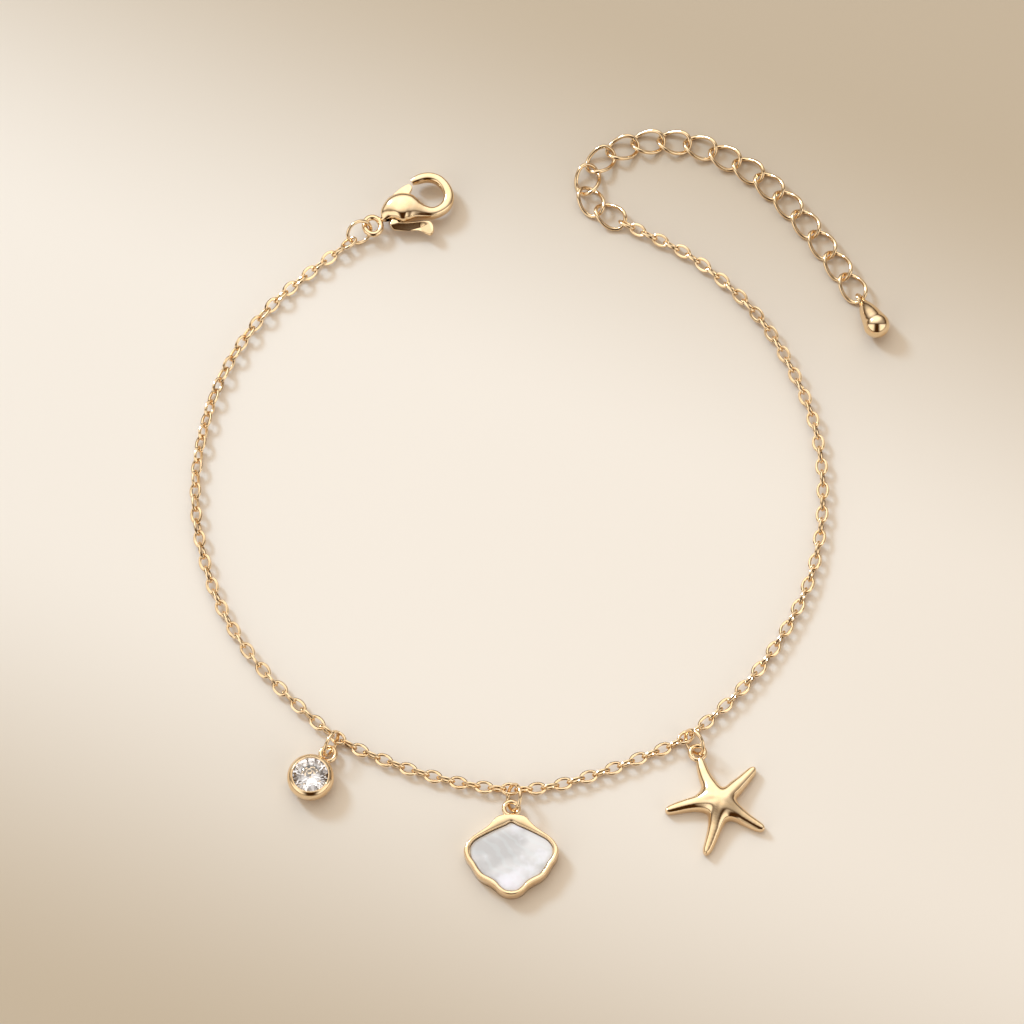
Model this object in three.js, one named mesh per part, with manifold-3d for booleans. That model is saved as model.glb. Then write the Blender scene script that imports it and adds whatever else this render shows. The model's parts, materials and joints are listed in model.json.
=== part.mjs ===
// Charm anklet: a fine cable chain with three charms, a lobster clasp and an extender, lying flat.
// Millimetres, +Z up, the anklet rests on z = 0 and the clasp lies at its far (+Y) side.
import * as THREE from 'three';
import { mergeVertices } from 'three/addons/utils/BufferGeometryUtils.js';
import { ParametricGeometry } from 'three/addons/geometries/ParametricGeometry.js';
import Module from 'manifold-3d';

const wasm = await Module();
wasm.setup();

// Fine cable chain
const FINE_LENGTH = 2.3;          // outside, along the chain
const FINE_WIDTH = 1.66;          // outside, across the chain
const FINE_WIRE = 0.38;
const CHAIN_HEIGHT = 0.86;        // middle of the chain above the surface
const CARRIER_LIFT = 0.12;        // a jump ring lifts the link that it hangs on
const CHAIN_DIAMETER = 1.5;       // envelope of the crossed links
const STRETCH_STEP = 2.6;         // one step of a chain stretch
const LINK_GAP = 0.25;            // between a stretch and the link it ends at

// Route of the fine chain, from the clasp round to the extender, seen from above
const CHAIN_ROUTE = [
  [-20.72, 36.0], [-25.2, 32.32], [-30.1, 27.82], [-34.0, 22.57], [-36.9, 16.87], [-38.7, 10.62],
  [-39.55, 4.22], [-39.2, -2.38], [-37.2, -10.18], [-34.3, -16.18], [-30.6, -21.28], [-26.0, -26.08],
  [-21.2, -30.08], [-14.7, -33.18], [-8.9, -35.08], [-2.7, -36.33], [3.4, -36.38], [9.4, -34.88],
  [15.3, -32.68], [21.1, -30.03], [25.85, -26.13], [30.2, -21.38], [33.9, -15.83], [36.7, -10.08],
  [38.3, -3.88], [38.85, 3.92], [37.8, 12.02], [34.9, 19.57], [31.6, 25.37], [27.25, 30.32],
  [22.2, 34.52], [16.3, 37.67], [14.6, 38.57],
];
const CHARM_STATIONS = { stone: 0.3775, shell: 0.4854, star: 0.5953 };   // shares of the chain

// Extender of twisted links
const EXTENDER_LENGTH = 4.6;      // outside, along one link
const EXTENDER_WIDTH = 3.42;      // outside, across one link
const EXTENDER_WIRE = 0.5;
const EXTENDER_TWIST = 0.49;      // how far the wire rises and falls along one link
const EXTENDER_PLAY = 0.08;       // how far a link could still move along the next one
const EXTENDER_PITCH = EXTENDER_LENGTH - 2 * EXTENDER_WIRE - EXTENDER_PLAY;
const EXTENDER_CROWDING = 0.55;   // less pitch for each radian between two links
const EXTENDER_COUNT = 16;
const EXTENDER_ROUTE = [
  [12.6, 39.8], [10.1, 41.8], [9.7, 45.0], [11.55, 47.7], [14.55, 49.35], [17.9, 50.1],
  [21.5, 49.95], [24.9, 49.05], [30.8, 45.75], [35.65, 40.9], [39.75, 35.4], [43.4, 29.6], [46.2, 25.0],
];

// Jump rings
const RING_DIAMETER = 3.62;       // outside
const RING_WIRE = 0.46;
const RING_LEANS = { clasp: 57, stone: 80, shell: 61, star: 66 };   // degrees up from the surface
const RING_CLEARANCE = 0.08;
const RING_OFFSET = 0.08;         // a ring lies off the middle of its link, away from the charm
const FLOOR_CLEARANCE = 0.03;

// Lobster clasp
const CLASP_LENGTH = 9.45;        // body and hook without the loop
const CLASP_WIDTH = 6.1;
const CLASP_THICKNESS = 3.0;
const CLASP_TURN = 16.4;          // degrees from +X
const CLASP_LOOP_LENGTH = 2.8;    // outside
const CLASP_LOOP_WIDTH = 3.1;     // outside
const CLASP_LOOP_WIRE = 0.76;
const LEVER_THICKNESS = 0.66;
const SLOT_CLEARANCE = 0.14;      // all round the lever
const LEVER_SWING = 24;           // degrees that the slot leaves room for
const PIN_DIAMETER = 0.6;
const PIN_CLEARANCE = 0.08;
const CLASP_LINK_ROLL = -30;      // degrees, of the link at the clasp's ring
const CLASP_RING_TURN = 11;        // degrees from that link to the ring
const CLASP_RING_SLACK = 0.8;    // share of the room in that link taken up by the ring

// Bezel set stone
const BEZEL_DIAMETER = 5.78;
const BEZEL_HEIGHT = 2.85;
const BEZEL_OVERLAP = 0.26;       // how far the loop is sunk into the cup
const STONE_DIAMETER = 4.6;
const STONE_SHOWING = 4.36;       // inside the lip
const STONE_CLEARANCE = 0.08;
const STONE_DEPTH = 0.66;         // of its widest part below the top of the lip
const STONE_TURN = 57;            // degrees from +X to the loop

// Shell charm
const SHELL_WIDTH = 11.65;
const SHELL_HEIGHT = 10.45;
const SHELL_THICKNESS = 2.05;
const SHELL_BACK = 0.9;           // plate under the inlay
const SHELL_EDGE = 0.26;          // rounding of the rim
const INLAY_THICKNESS = 0.75;
const INLAY_CLEARANCE = 0.06;

// Starfish charm
const STAR_HEIGHT = 2.3;
const STAR_TIP_HEIGHT = 1.25;
const STAR_SIDE = 0.35;           // upright part of the side
const STAR_CROTCH = 2.05;         // from the middle to where two arms meet
const STAR_ARM = 6.6;             // middle to tip of a typical arm
const STAR_ARM_WIDTH = 1.75;

// Loops of the charms, which lie flat
const LOOP_DIAMETER = 2.38;
const LOOP_WIRE = 0.6;
const LOOP_HEIGHT = 0.9;

// End drop
const DROP_DIAMETER = 3.34;
const DROP_REACH = 4.35;          // loop centre to the centre of the round end
const DROP_TURN = -6;             // degrees from the last link's heading
const DROP_LOOP_DIAMETER = 1.84;
const DROP_LOOP_WIRE = 0.42;
const DROP_LOOP_LIFT = 0.06;      // of its middle above the middle of the link's wire

// Facets
const RING_STEPS = 16;
const WIRE_SIDES = 6;
const FINE_STEPS = 14;
const FINE_SIDES = 5;

const gold = { color: 0xe3bd78, roughness: 0.16, metalness: 1.0 };
const crystal = { color: 0xeceaf0, roughness: 0.03, metalness: 0.0 };
const pearl = { color: 0xe6e6ea, roughness: 0.25, metalness: 0.0 };

const anklet = new THREE.Group();
const UP = new THREE.Vector3(0, 0, 1);
const radians = THREE.MathUtils.degToRad;

// Solids and meshes

function closedSolid(geometry) {
  const plain = geometry.index ? geometry.clone() : geometry;
  for (const name of Object.keys(plain.attributes)) {
    if (name !== 'position') {
      plain.deleteAttribute(name);
    }
  }
  const merged = mergeVertices(plain, 1e-4);
  const position = merged.attributes.position;
  const corners = merged.index.array;
  const kept = [];
  for (let i = 0; i < corners.length; i += 3) {
    const [a, b, c] = [corners[i], corners[i + 1], corners[i + 2]];
    if (a !== b && b !== c && c !== a) {
      kept.push(a, b, c);
    }
  }
  const build = (triangles) => new wasm.Manifold(new wasm.Mesh({
    numProp: 3,
    vertProperties: new Float32Array(position.array),
    triVerts: new Uint32Array(triangles),
  }));
  const solid = build(kept);
  if (solid.volume() > 0) {
    return solid;
  }
  const flipped = [];
  for (let i = 0; i < kept.length; i += 3) {
    flipped.push(kept[i], kept[i + 2], kept[i + 1]);
  }
  return build(flipped);
}

function geometryOf(solid) {
  const mesh = solid.getMesh();
  const geometry = new THREE.BufferGeometry();
  geometry.setAttribute('position', new THREE.BufferAttribute(new Float32Array(mesh.vertProperties), 3));
  geometry.setIndex(new THREE.BufferAttribute(new Uint32Array(mesh.triVerts), 1));
  geometry.computeVertexNormals();
  return geometry;
}

function addPiece(name, solid, finish, place = new THREE.Matrix4()) {
  const mesh = new THREE.Mesh(geometryOf(solid), new THREE.MeshStandardMaterial(finish));
  mesh.name = name;
  mesh.applyMatrix4(place);
  anklet.add(mesh);
  return mesh;
}

function joined(solids) {
  return solids.reduce((whole, next) => whole.add(next));
}

// A closed wire whose middle line is centre(turn), with its flat side reference kept near UP
function closedWire(centre, radius, steps, sides) {
  const ahead = 1e-3;
  return new ParametricGeometry((u, v, target) => {
    const turn = 2 * Math.PI * u;
    const roll = 2 * Math.PI * v;
    const point = centre(turn);
    const tangent = centre(turn + ahead).sub(centre(turn - ahead)).normalize();
    const upward = UP.clone().addScaledVector(tangent, -UP.dot(tangent)).normalize();
    const sideways = new THREE.Vector3().crossVectors(tangent, upward);
    target.copy(point)
      .addScaledVector(sideways, radius * Math.cos(roll))
      .addScaledVector(upward, radius * Math.sin(roll));
  }, steps, sides);
}

function ovalWire(length, width, wire, steps, sides, twist = 0) {
  const a = (length - wire) / 2;
  const b = (width - wire) / 2;
  const centre = (turn) => new THREE.Vector3(
    a * Math.cos(turn), b * Math.sin(turn), twist * Math.sin(2 * turn));
  return closedSolid(closedWire(centre, wire / 2, steps, sides));
}

// Places: x along, z the normal of the flat side after a roll about x

function placeAlong(centre, heading, roll = 0, pitch = 0) {
  return new THREE.Matrix4()
    .makeTranslation(centre)
    .multiply(new THREE.Matrix4().makeRotationZ(heading))
    .multiply(new THREE.Matrix4().makeRotationY(-pitch))
    .multiply(new THREE.Matrix4().makeRotationX(roll));
}

function flatDirection(heading) {
  return new THREE.Vector3(Math.cos(heading), Math.sin(heading), 0);
}

// Fine chain

const chainCurve = new THREE.CatmullRomCurve3(
  CHAIN_ROUTE.map(([x, y]) => new THREE.Vector3(x, y, CHAIN_HEIGHT)), false, 'centripetal');
chainCurve.arcLengthDivisions = 2000;
const chainLength = chainCurve.getLength();

class ChainStretch extends THREE.Curve {
  constructor(from, to) {
    super();
    this.from = from;
    this.to = to;
  }

  getPoint(share, target = new THREE.Vector3()) {
    return chainCurve.getPointAt(THREE.MathUtils.lerp(this.from, this.to, share), target);
  }
}

function headingAt(curve, share) {
  const tangent = curve.getTangentAt(share);
  return Math.atan2(tangent.y, tangent.x);
}

function fineLink(name, place) {
  addPiece(name, ovalWire(FINE_LENGTH, FINE_WIDTH, FINE_WIRE, FINE_STEPS, FINE_SIDES), gold, place);
}

function chainStretch(name, fromShare, toShare) {
  const cut = (FINE_LENGTH / 2 + LINK_GAP) / chainLength;
  const stretch = new ChainStretch(fromShare + cut, toShare - cut);
  const section = new THREE.Shape();
  section.absarc(0, 0, CHAIN_DIAMETER / 2, 0, 2 * Math.PI);
  const tube = new THREE.ExtrudeGeometry(section, {
    steps: Math.ceil((toShare - fromShare) * chainLength / STRETCH_STEP),
    curveSegments: 4,
    extrudePath: stretch,
  });
  addPiece(name, closedSolid(tube), gold);
}

const stops = [0, CHARM_STATIONS.stone, CHARM_STATIONS.shell, CHARM_STATIONS.star, 1];
['chain_a', 'chain_b', 'chain_c', 'chain_d'].forEach((name, i) => {
  chainStretch(name, stops[i], stops[i + 1]);
});

// Jump rings: each leans on the surface, goes down through a link and down through a loop

const ringRadius = (RING_DIAMETER - RING_WIRE) / 2;

function jumpRing(name, crossing, heading, lean, leanSide, loopHeight) {
  const ringRise = Math.sin(radians(lean));
  const ringSpread = Math.cos(radians(lean));
  const ringHeight = RING_WIRE / 2 + FLOOR_CLEARANCE + ringRadius * ringRise;
  // How far from the ring's middle it crosses a height, along it and sideways
  const crossingAt = (height) => {
    const drop = (ringHeight - height) / (ringRadius * ringRise);
    return { along: ringRadius * Math.sqrt(1 - drop * drop), aside: -drop * ringRadius * ringSpread };
  };
  const along = flatDirection(heading);
  const aside = flatDirection(heading + leanSide * Math.PI / 2);
  const near = crossingAt(crossing.z);
  const far = crossingAt(loopHeight);
  const centre = crossing.clone()
    .addScaledVector(along, near.along)
    .addScaledVector(aside, -near.aside)
    .setZ(ringHeight);
  const upward = aside.clone().multiplyScalar(ringSpread).setZ(ringRise);
  const place = new THREE.Matrix4()
    .makeBasis(along, upward, new THREE.Vector3().crossVectors(along, upward))
    .setPosition(centre);
  const ring = new THREE.TorusGeometry(ringRadius, RING_WIRE / 2, WIRE_SIDES, RING_STEPS);
  addPiece(name, closedSolid(ring), gold, place);
  return centre.clone()
    .addScaledVector(along, far.along)
    .addScaledVector(aside, far.aside)
    .setZ(loopHeight);
}

// Flat loop of a charm, round the jump ring with the ring near its outer side
const loopSlack = (LOOP_DIAMETER / 2 - LOOP_WIRE - RING_WIRE / 2 - RING_CLEARANCE) / 2;

function flatLoop(centre) {
  const loop = new THREE.TorusGeometry((LOOP_DIAMETER - LOOP_WIRE) / 2, LOOP_WIRE / 2, 8, RING_STEPS);
  loop.translate(centre.x, centre.y, centre.z);
  return closedSolid(loop);
}

// Returns where the middle of the charm's loop lies and which way it faces the chain
function hangCharm(charm, turn, leanSide) {
  const station = CHARM_STATIONS[charm];
  const heading = headingAt(chainCurve, station);
  const carrier = chainCurve.getPointAt(station).setZ(CHAIN_HEIGHT + CARRIER_LIFT);
  fineLink(`carrier_link_${charm}`, placeAlong(carrier, heading));
  const outward = heading - Math.PI / 2 + radians(turn);
  const crossing = carrier.clone().addScaledVector(flatDirection(outward), -RING_OFFSET);
  const crossed = jumpRing(`ring_${charm}`, crossing, outward, RING_LEANS[charm], leanSide, LOOP_HEIGHT);
  return crossed.addScaledVector(flatDirection(outward), -loopSlack);
}

// Stone charm

function bezelCup() {
  const r = BEZEL_DIAMETER / 2;
  const h = BEZEL_HEIGHT;
  const bore = STONE_DIAMETER / 2 + STONE_CLEARANCE;
  const girdle = h - STONE_DEPTH;
  const seat = girdle - 0.35;
  const profile = [
    [0, 0], [0.62 * r, 0], [0.86 * r, 0.11 * h], [0.98 * r, 0.3 * h], [r, 0.48 * h], [0.97 * r, 0.66 * h],
    [0.91 * r, 0.77 * h], [0.885 * r, 0.83 * h], [0.85 * r, 0.94 * h], [0.8 * r, h],
    [STONE_SHOWING / 2, h - 0.06], [STONE_SHOWING / 2, h - 0.34], [bore, girdle + STONE_CLEARANCE],
    [bore, seat], [0.42 * bore, 0.14 * h], [0, 0.14 * h],
  ];
  return closedSolid(new THREE.LatheGeometry(profile.map(([x, y]) => new THREE.Vector2(x, y)), 24))
    .rotate([90, 0, 0]);
}

function brilliant() {
  const r = STONE_DIAMETER / 2;
  const girdle = BEZEL_HEIGHT - STONE_DEPTH;
  const profile = [
    [0, girdle - 0.68 * r], [r, girdle - 0.15], [r, girdle], [0.56 * r, girdle + 0.2 * r], [0, girdle + 0.2 * r],
  ];
  return closedSolid(new THREE.LatheGeometry(profile.map(([x, y]) => new THREE.Vector2(x, y)), 16))
    .rotate([90, 0, 0]);
}

function stoneCharm() {
  const loop = hangCharm('stone', 5, -1);
  const reach = BEZEL_DIAMETER / 2 + LOOP_DIAMETER / 2 - BEZEL_OVERLAP;
  const toLoop = flatDirection(radians(STONE_TURN));
  const middle = loop.clone().addScaledVector(toLoop, -reach).setZ(0);
  const place = new THREE.Matrix4().makeTranslation(middle);
  const loopLocal = toLoop.clone().multiplyScalar(reach).setZ(LOOP_HEIGHT);
  addPiece('stone_bezel', bezelCup().add(flatLoop(loopLocal)), gold, place);
  addPiece('stone', brilliant(), crystal, place);
}

stoneCharm();

// Shell charm: half outlines from the top down, across as a share of half the width,
// down as a share of the height

const RIM_OUTLINE = [
  { across: 0, down: 0 }, { across: 0.17, down: 0.005 }, { across: 0.32, down: 0.036 },
  { across: 0.41, down: 0.095 }, { across: 0.52, down: 0.155 }, { across: 0.67, down: 0.215 },
  { across: 0.81, down: 0.27 }, { across: 0.925, down: 0.34 }, { across: 1, down: 0.435 },
  { across: 0.95, down: 0.55 }, { across: 0.86, down: 0.625 }, { across: 0.795, down: 0.69 },
  { across: 0.71, down: 0.758 }, { across: 0.6, down: 0.807 }, { across: 0.46, down: 0.85 },
  { across: 0.355, down: 0.892 }, { across: 0.25, down: 0.95 }, { across: 0.13, down: 0.987 },
  { across: 0, down: 1 },
];
const INLAY_OUTLINE = [
  { across: 0, down: 0.101 }, { across: 0.13, down: 0.136 }, { across: 0.333, down: 0.187 },
  { across: 0.58, down: 0.257 }, { across: 0.775, down: 0.326 }, { across: 0.865, down: 0.4 },
  { across: 0.877, down: 0.472 }, { across: 0.845, down: 0.53 }, { across: 0.76, down: 0.6 },
  { across: 0.685, down: 0.672 }, { across: 0.59, down: 0.735 }, { across: 0.45, down: 0.777 },
  { across: 0.33, down: 0.817 }, { across: 0.235, down: 0.88 }, { across: 0.13, down: 0.926 },
  { across: 0, down: 0.94 },
];

function mirroredOutline(rows) {
  const side = (sign) => ({ across, down }) => new THREE.Vector3(
    sign * across * SHELL_WIDTH / 2, -down * SHELL_HEIGHT, 0);
  const right = rows.map(side(1));
  const left = rows.slice(1, -1).reverse().map(side(-1));
  const curve = new THREE.CatmullRomCurve3([...right, ...left], true, 'centripetal');
  return curve.getSpacedPoints(48).slice(0, -1).reverse().map((p) => new THREE.Vector2(p.x, p.y));
}

// The outline moved inward, or outward where the distance is negative
function offsetOutline(points, distance) {
  const count = points.length;
  return points.map((point, i) => {
    const before = points[(i + count - 1) % count];
    const after = points[(i + 1) % count];
    const along = after.clone().sub(before).normalize();
    return new THREE.Vector2(point.x - along.y * distance, point.y + along.x * distance);
  });
}

function prism(points, bottom, top) {
  const slab = new THREE.ExtrudeGeometry(new THREE.Shape(points), { depth: top - bottom, bevelEnabled: false });
  slab.translate(0, 0, bottom);
  return closedSolid(slab);
}

function shellCharm() {
  const loop = hangCharm('shell', 6, 1);
  const toTop = LOOP_DIAMETER / 2 - LOOP_WIRE / 2;
  const place = new THREE.Matrix4().makeTranslation(loop.x, loop.y - toTop, 0);
  const rim = mirroredOutline(RIM_OUTLINE);
  const inlay = mirroredOutline(INLAY_OUTLINE);
  const rimShape = new THREE.Shape(offsetOutline(rim, SHELL_EDGE));
  rimShape.holes.push(new THREE.Path(offsetOutline(inlay, -SHELL_EDGE)));
  const ring = new THREE.ExtrudeGeometry(rimShape, {
    depth: SHELL_THICKNESS - 2 * SHELL_EDGE,
    bevelThickness: SHELL_EDGE,
    bevelSize: SHELL_EDGE,
    bevelSegments: 2,
  });
  ring.translate(0, 0, SHELL_EDGE);
  const back = prism(offsetOutline(rim, SHELL_EDGE), 0, SHELL_BACK);
  const loopSolid = flatLoop(new THREE.Vector3(0, toTop, LOOP_HEIGHT));
  const pocket = prism(inlay, SHELL_BACK, 2 * SHELL_THICKNESS);
  const frame = closedSolid(ring).add(back).subtract(pocket).add(loopSolid);
  addPiece('shell_frame', frame, gold, place);
  const plate = prism(offsetOutline(inlay, INLAY_CLEARANCE),
    SHELL_BACK + INLAY_CLEARANCE, SHELL_BACK + INLAY_THICKNESS);
  addPiece('shell_inlay', plate, pearl, place);
}

shellCharm();

// Starfish charm: arms by heading in degrees, length and sideways bend as shares of the
// typical arm, and the crotch after it as a share of the typical one; the first carries the loop
const STAR_ARMS = [
  { heading: 114, length: 0.93, bend: 0.07, crotch: 1.2 },
  { heading: 191, length: 1.05, bend: -0.04, crotch: 1.06 },
  { heading: 254, length: 1.08, bend: 0.03, crotch: 1.03 },
  { heading: 326, length: 0.98, bend: -0.03, crotch: 0.87 },
  { heading: 405, length: 0.92, bend: -0.02, crotch: 0.85 },
];
// Half width of an arm as a share of half the typical width, along the arm as a share of its length
const ARM_STATIONS = [
  { along: 0.4, half: 1.1 }, { along: 0.52, half: 0.95 }, { along: 0.66, half: 0.83 },
  { along: 0.8, half: 0.71 }, { along: 0.9, half: 0.58 }, { along: 0.96, half: 0.42 },
  { along: 0.99, half: 0.22 }, { along: 1, half: 0 },
];
const STAR_LEVELS = 4;

function armPoint({ heading, length, bend }, along) {
  const forward = flatDirection(radians(heading));
  const sideways = flatDirection(radians(heading + 90));
  const reach = length * STAR_ARM;
  return forward.multiplyScalar(reach * along)
    .addScaledVector(sideways, bend * reach * 4 * along * (1 - along));
}

function starRows() {
  const rows = [];
  STAR_ARMS.forEach((arm, i) => {
    const next = STAR_ARMS[(i + 1) % STAR_ARMS.length];
    const nextHeading = next.heading < arm.heading ? next.heading + 360 : next.heading;
    const station = ({ along, half }, side) => {
      const spine = armPoint(arm, along);
      const tangent = armPoint(arm, along + 0.01).sub(armPoint(arm, along - 0.01)).normalize();
      const sideways = new THREE.Vector3(-tangent.y, tangent.x, 0);
      const edge = spine.clone().addScaledVector(sideways, side * half * STAR_ARM_WIDTH / 2);
      return { edge, spine, height: THREE.MathUtils.lerp(STAR_HEIGHT, STAR_TIP_HEIGHT, Math.sqrt(along)) };
    };
    rows.push(...ARM_STATIONS.map((row) => station(row, -1)));
    rows.push(...ARM_STATIONS.slice(0, -1).reverse().map((row) => station(row, 1)));
    const between = flatDirection(radians((arm.heading + nextHeading) / 2));
    const crotch = between.multiplyScalar(arm.crotch * STAR_CROTCH);
    rows.push({ edge: crotch, spine: new THREE.Vector3(), height: STAR_HEIGHT });
  });
  return rows;
}

function starSolid() {
  const rows = starRows();
  const count = rows.length;
  const surface = new ParametricGeometry((u, v, target) => {
    const row = rows[Math.round(u * count) % count];
    const level = Math.round(v * (STAR_LEVELS + 2));
    if (level === 0) {
      target.set(0, 0, 0);
    } else if (level === 1) {
      target.copy(row.edge);
    } else {
      const lean = (level - 2) / STAR_LEVELS * Math.PI / 2;
      target.copy(row.spine).lerp(row.edge, Math.cos(lean));
      target.z = STAR_SIDE + (row.height - STAR_SIDE) * Math.sin(lean);
    }
  }, count, STAR_LEVELS + 2);
  return closedSolid(surface);
}

function starCharm() {
  const loop = hangCharm('star', 1.3, 1);
  const tip = armPoint(STAR_ARMS[0], 1);
  const outward = flatDirection(radians(STAR_ARMS[0].heading));
  const loopLocal = tip.clone().addScaledVector(outward, LOOP_DIAMETER / 2 - LOOP_WIRE).setZ(LOOP_HEIGHT);
  const place = new THREE.Matrix4().makeTranslation(loop.x - loopLocal.x, loop.y - loopLocal.y, 0);
  addPiece('starfish', starSolid().add(flatLoop(loopLocal)), gold, place);
}

starCharm();

// Lobster clasp: sections of the body from its base round the hook, along and across as shares of
// the clasp's length and width, wide and thick as shares of its width and thickness
const CLASP_SECTIONS = [
  { along: -0.035, across: -0.07, wide: 0.07, thick: 0.2 },
  { along: 0.0, across: -0.055, wide: 0.14, thick: 0.36 },
  { along: 0.08, across: 0.035, wide: 0.32, thick: 0.7 },
  { along: 0.172, across: 0.08, wide: 0.51, thick: 0.93 },
  { along: 0.265, across: 0.08, wide: 0.59, thick: 1.0 },
  { along: 0.353, across: 0.04, wide: 0.575, thick: 0.99 },
  { along: 0.423, across: -0.03, wide: 0.485, thick: 0.92 },
  { along: 0.487, across: -0.107, wide: 0.365, thick: 0.82 },
  { along: 0.56, across: -0.172, wide: 0.28, thick: 0.7 },
  { along: 0.645, across: -0.228, wide: 0.235, thick: 0.61 },
  { along: 0.74, across: -0.232, wide: 0.22, thick: 0.56 },
  { along: 0.853, across: -0.165, wide: 0.228, thick: 0.54 },
  { along: 0.93, across: -0.005, wide: 0.222, thick: 0.52 },
  { along: 0.94, across: 0.2, wide: 0.21, thick: 0.5 },
  { along: 0.882, across: 0.425, wide: 0.203, thick: 0.48 },
  { along: 0.795, across: 0.54, wide: 0.2, thick: 0.47 },
  { along: 0.7, across: 0.585, wide: 0.195, thick: 0.46 },
  { along: 0.595, across: 0.58, wide: 0.18, thick: 0.43 },
  { along: 0.515, across: 0.56, wide: 0.12, thick: 0.32 },
];
const SECTION_SIDES = 12;
const SECTION_STEPS = 28;

function claspSections() {
  const middle = new THREE.CatmullRomCurve3(CLASP_SECTIONS.map(({ along, across }) =>
    new THREE.Vector3(along * CLASP_LENGTH, across * CLASP_WIDTH, 0)), false, 'centripetal');
  const size = new THREE.CatmullRomCurve3(CLASP_SECTIONS.map(({ wide, thick }, i) =>
    new THREE.Vector3(wide * CLASP_WIDTH / 2, thick * CLASP_THICKNESS / 2, i)), false, 'catmullrom');
  return { middle, size };
}

// The skin runs from a point at the base, over the sections, to a point at the tip
function claspSkin() {
  const { middle, size } = claspSections();
  return closedSolid(new ParametricGeometry((u, v, target) => {
    const step = Math.round(u * (SECTION_STEPS + 2)) - 1;
    const share = THREE.MathUtils.clamp(step / SECTION_STEPS, 0, 1);
    const open = step >= 0 && step <= SECTION_STEPS ? 1 : 0;
    const point = middle.getPoint(share);
    const tangent = middle.getTangent(share);
    const half = size.getPoint(share);
    const roll = 2 * Math.PI * v;
    target.set(
      point.x - tangent.y * half.x * Math.cos(roll) * open,
      point.y + tangent.x * half.x * Math.cos(roll) * open,
      half.y * Math.sin(roll) * open);
  }, SECTION_STEPS + 2, SECTION_SIDES));
}

// Places inside the clasp, as shares of its length and width
const PIVOT = { along: 0.159, across: 0.05 };
const CLASP_LOOP = { along: -0.162, across: -0.155 };
const SLOT_POSITIONS = 7;         // of the lever, from closed to open
const LEVER_OUTLINE = [
  { along: 0.068, across: -0.287 }, { along: 0.092, across: -0.352 }, { along: 0.169, across: -0.402 },
  { along: 0.265, across: -0.451 }, { along: 0.37, across: -0.489 }, { along: 0.444, across: -0.541 },
  { along: 0.497, across: -0.639 }, { along: 0.545, across: -0.697 }, { along: 0.598, across: -0.648 },
  { along: 0.619, across: -0.541 }, { along: 0.608, across: -0.443 }, { along: 0.582, across: -0.393 },
  { along: 0.529, across: -0.36 }, { along: 0.444, across: -0.335 }, { along: 0.339, across: -0.308 },
  { along: 0.243, across: -0.272 }, { along: 0.19, across: -0.235 }, { along: 0.201, across: -0.148 },
  { along: 0.238, across: -0.016 }, { along: 0.286, across: 0.09 }, { along: 0.349, across: 0.189 },
  { along: 0.413, across: 0.272 }, { along: 0.476, across: 0.361 }, { along: 0.502, across: 0.43 },
  { along: 0.497, across: 0.475 }, { along: 0.478, across: 0.528 }, { along: 0.403, across: 0.516 },
  { along: 0.328, across: 0.475 }, { along: 0.265, across: 0.43 }, { along: 0.18, across: 0.344 },
  { along: 0.116, across: 0.221 }, { along: 0.085, across: 0.082 }, { along: 0.093, across: -0.049 },
  { along: 0.1, across: -0.164 }, { along: 0.066, across: -0.213 },
];

function inClasp({ along, across }) {
  return new THREE.Vector2(along * CLASP_LENGTH, across * CLASP_WIDTH);
}

function roundRod(centre, diameter, length) {
  const rod = new THREE.CylinderGeometry(diameter / 2, diameter / 2, length, 12);
  rod.rotateX(Math.PI / 2);
  rod.translate(centre.x, centre.y, 0);
  return closedSolid(rod);
}

// The room that the lever sweeps as it opens
function leverSlot(thickness) {
  const pivot = inClasp(PIVOT);
  const positions = Array.from({ length: SLOT_POSITIONS }, (_, i) => {
    const turn = -radians(LEVER_SWING * i / (SLOT_POSITIONS - 1));
    const outline = LEVER_OUTLINE.map((row) => inClasp(row).rotateAround(pivot, turn));
    return new wasm.CrossSection([outline.map(({ x, y }) => [x, y])], 'NonZero');
  });
  const swept = wasm.CrossSection.union(positions).offset(SLOT_CLEARANCE, 'Round', 2, 12);
  return swept.extrude(thickness).translate([0, 0, -thickness / 2]);
}

function claspBody() {
  const slotThickness = LEVER_THICKNESS + 2 * SLOT_CLEARANCE;
  const pin = roundRod(inClasp(PIVOT), PIN_DIAMETER, slotThickness * 1.5);
  const centre = inClasp(CLASP_LOOP);
  const loop = ovalWire(CLASP_LOOP_LENGTH, CLASP_LOOP_WIDTH, CLASP_LOOP_WIRE, 18, 8)
    .translate([centre.x, centre.y, 0]);
  return joined([claspSkin().subtract(leverSlot(slotThickness)), pin, loop]);
}

function claspLever() {
  const plate = new THREE.ExtrudeGeometry(new THREE.Shape(LEVER_OUTLINE.map(inClasp)), {
    depth: LEVER_THICKNESS, bevelEnabled: false });
  plate.translate(0, 0, -LEVER_THICKNESS / 2);
  const bore = roundRod(inClasp(PIVOT), PIN_DIAMETER + 2 * PIN_CLEARANCE, 2 * LEVER_THICKNESS);
  return closedSolid(plate).subtract(bore);
}

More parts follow.
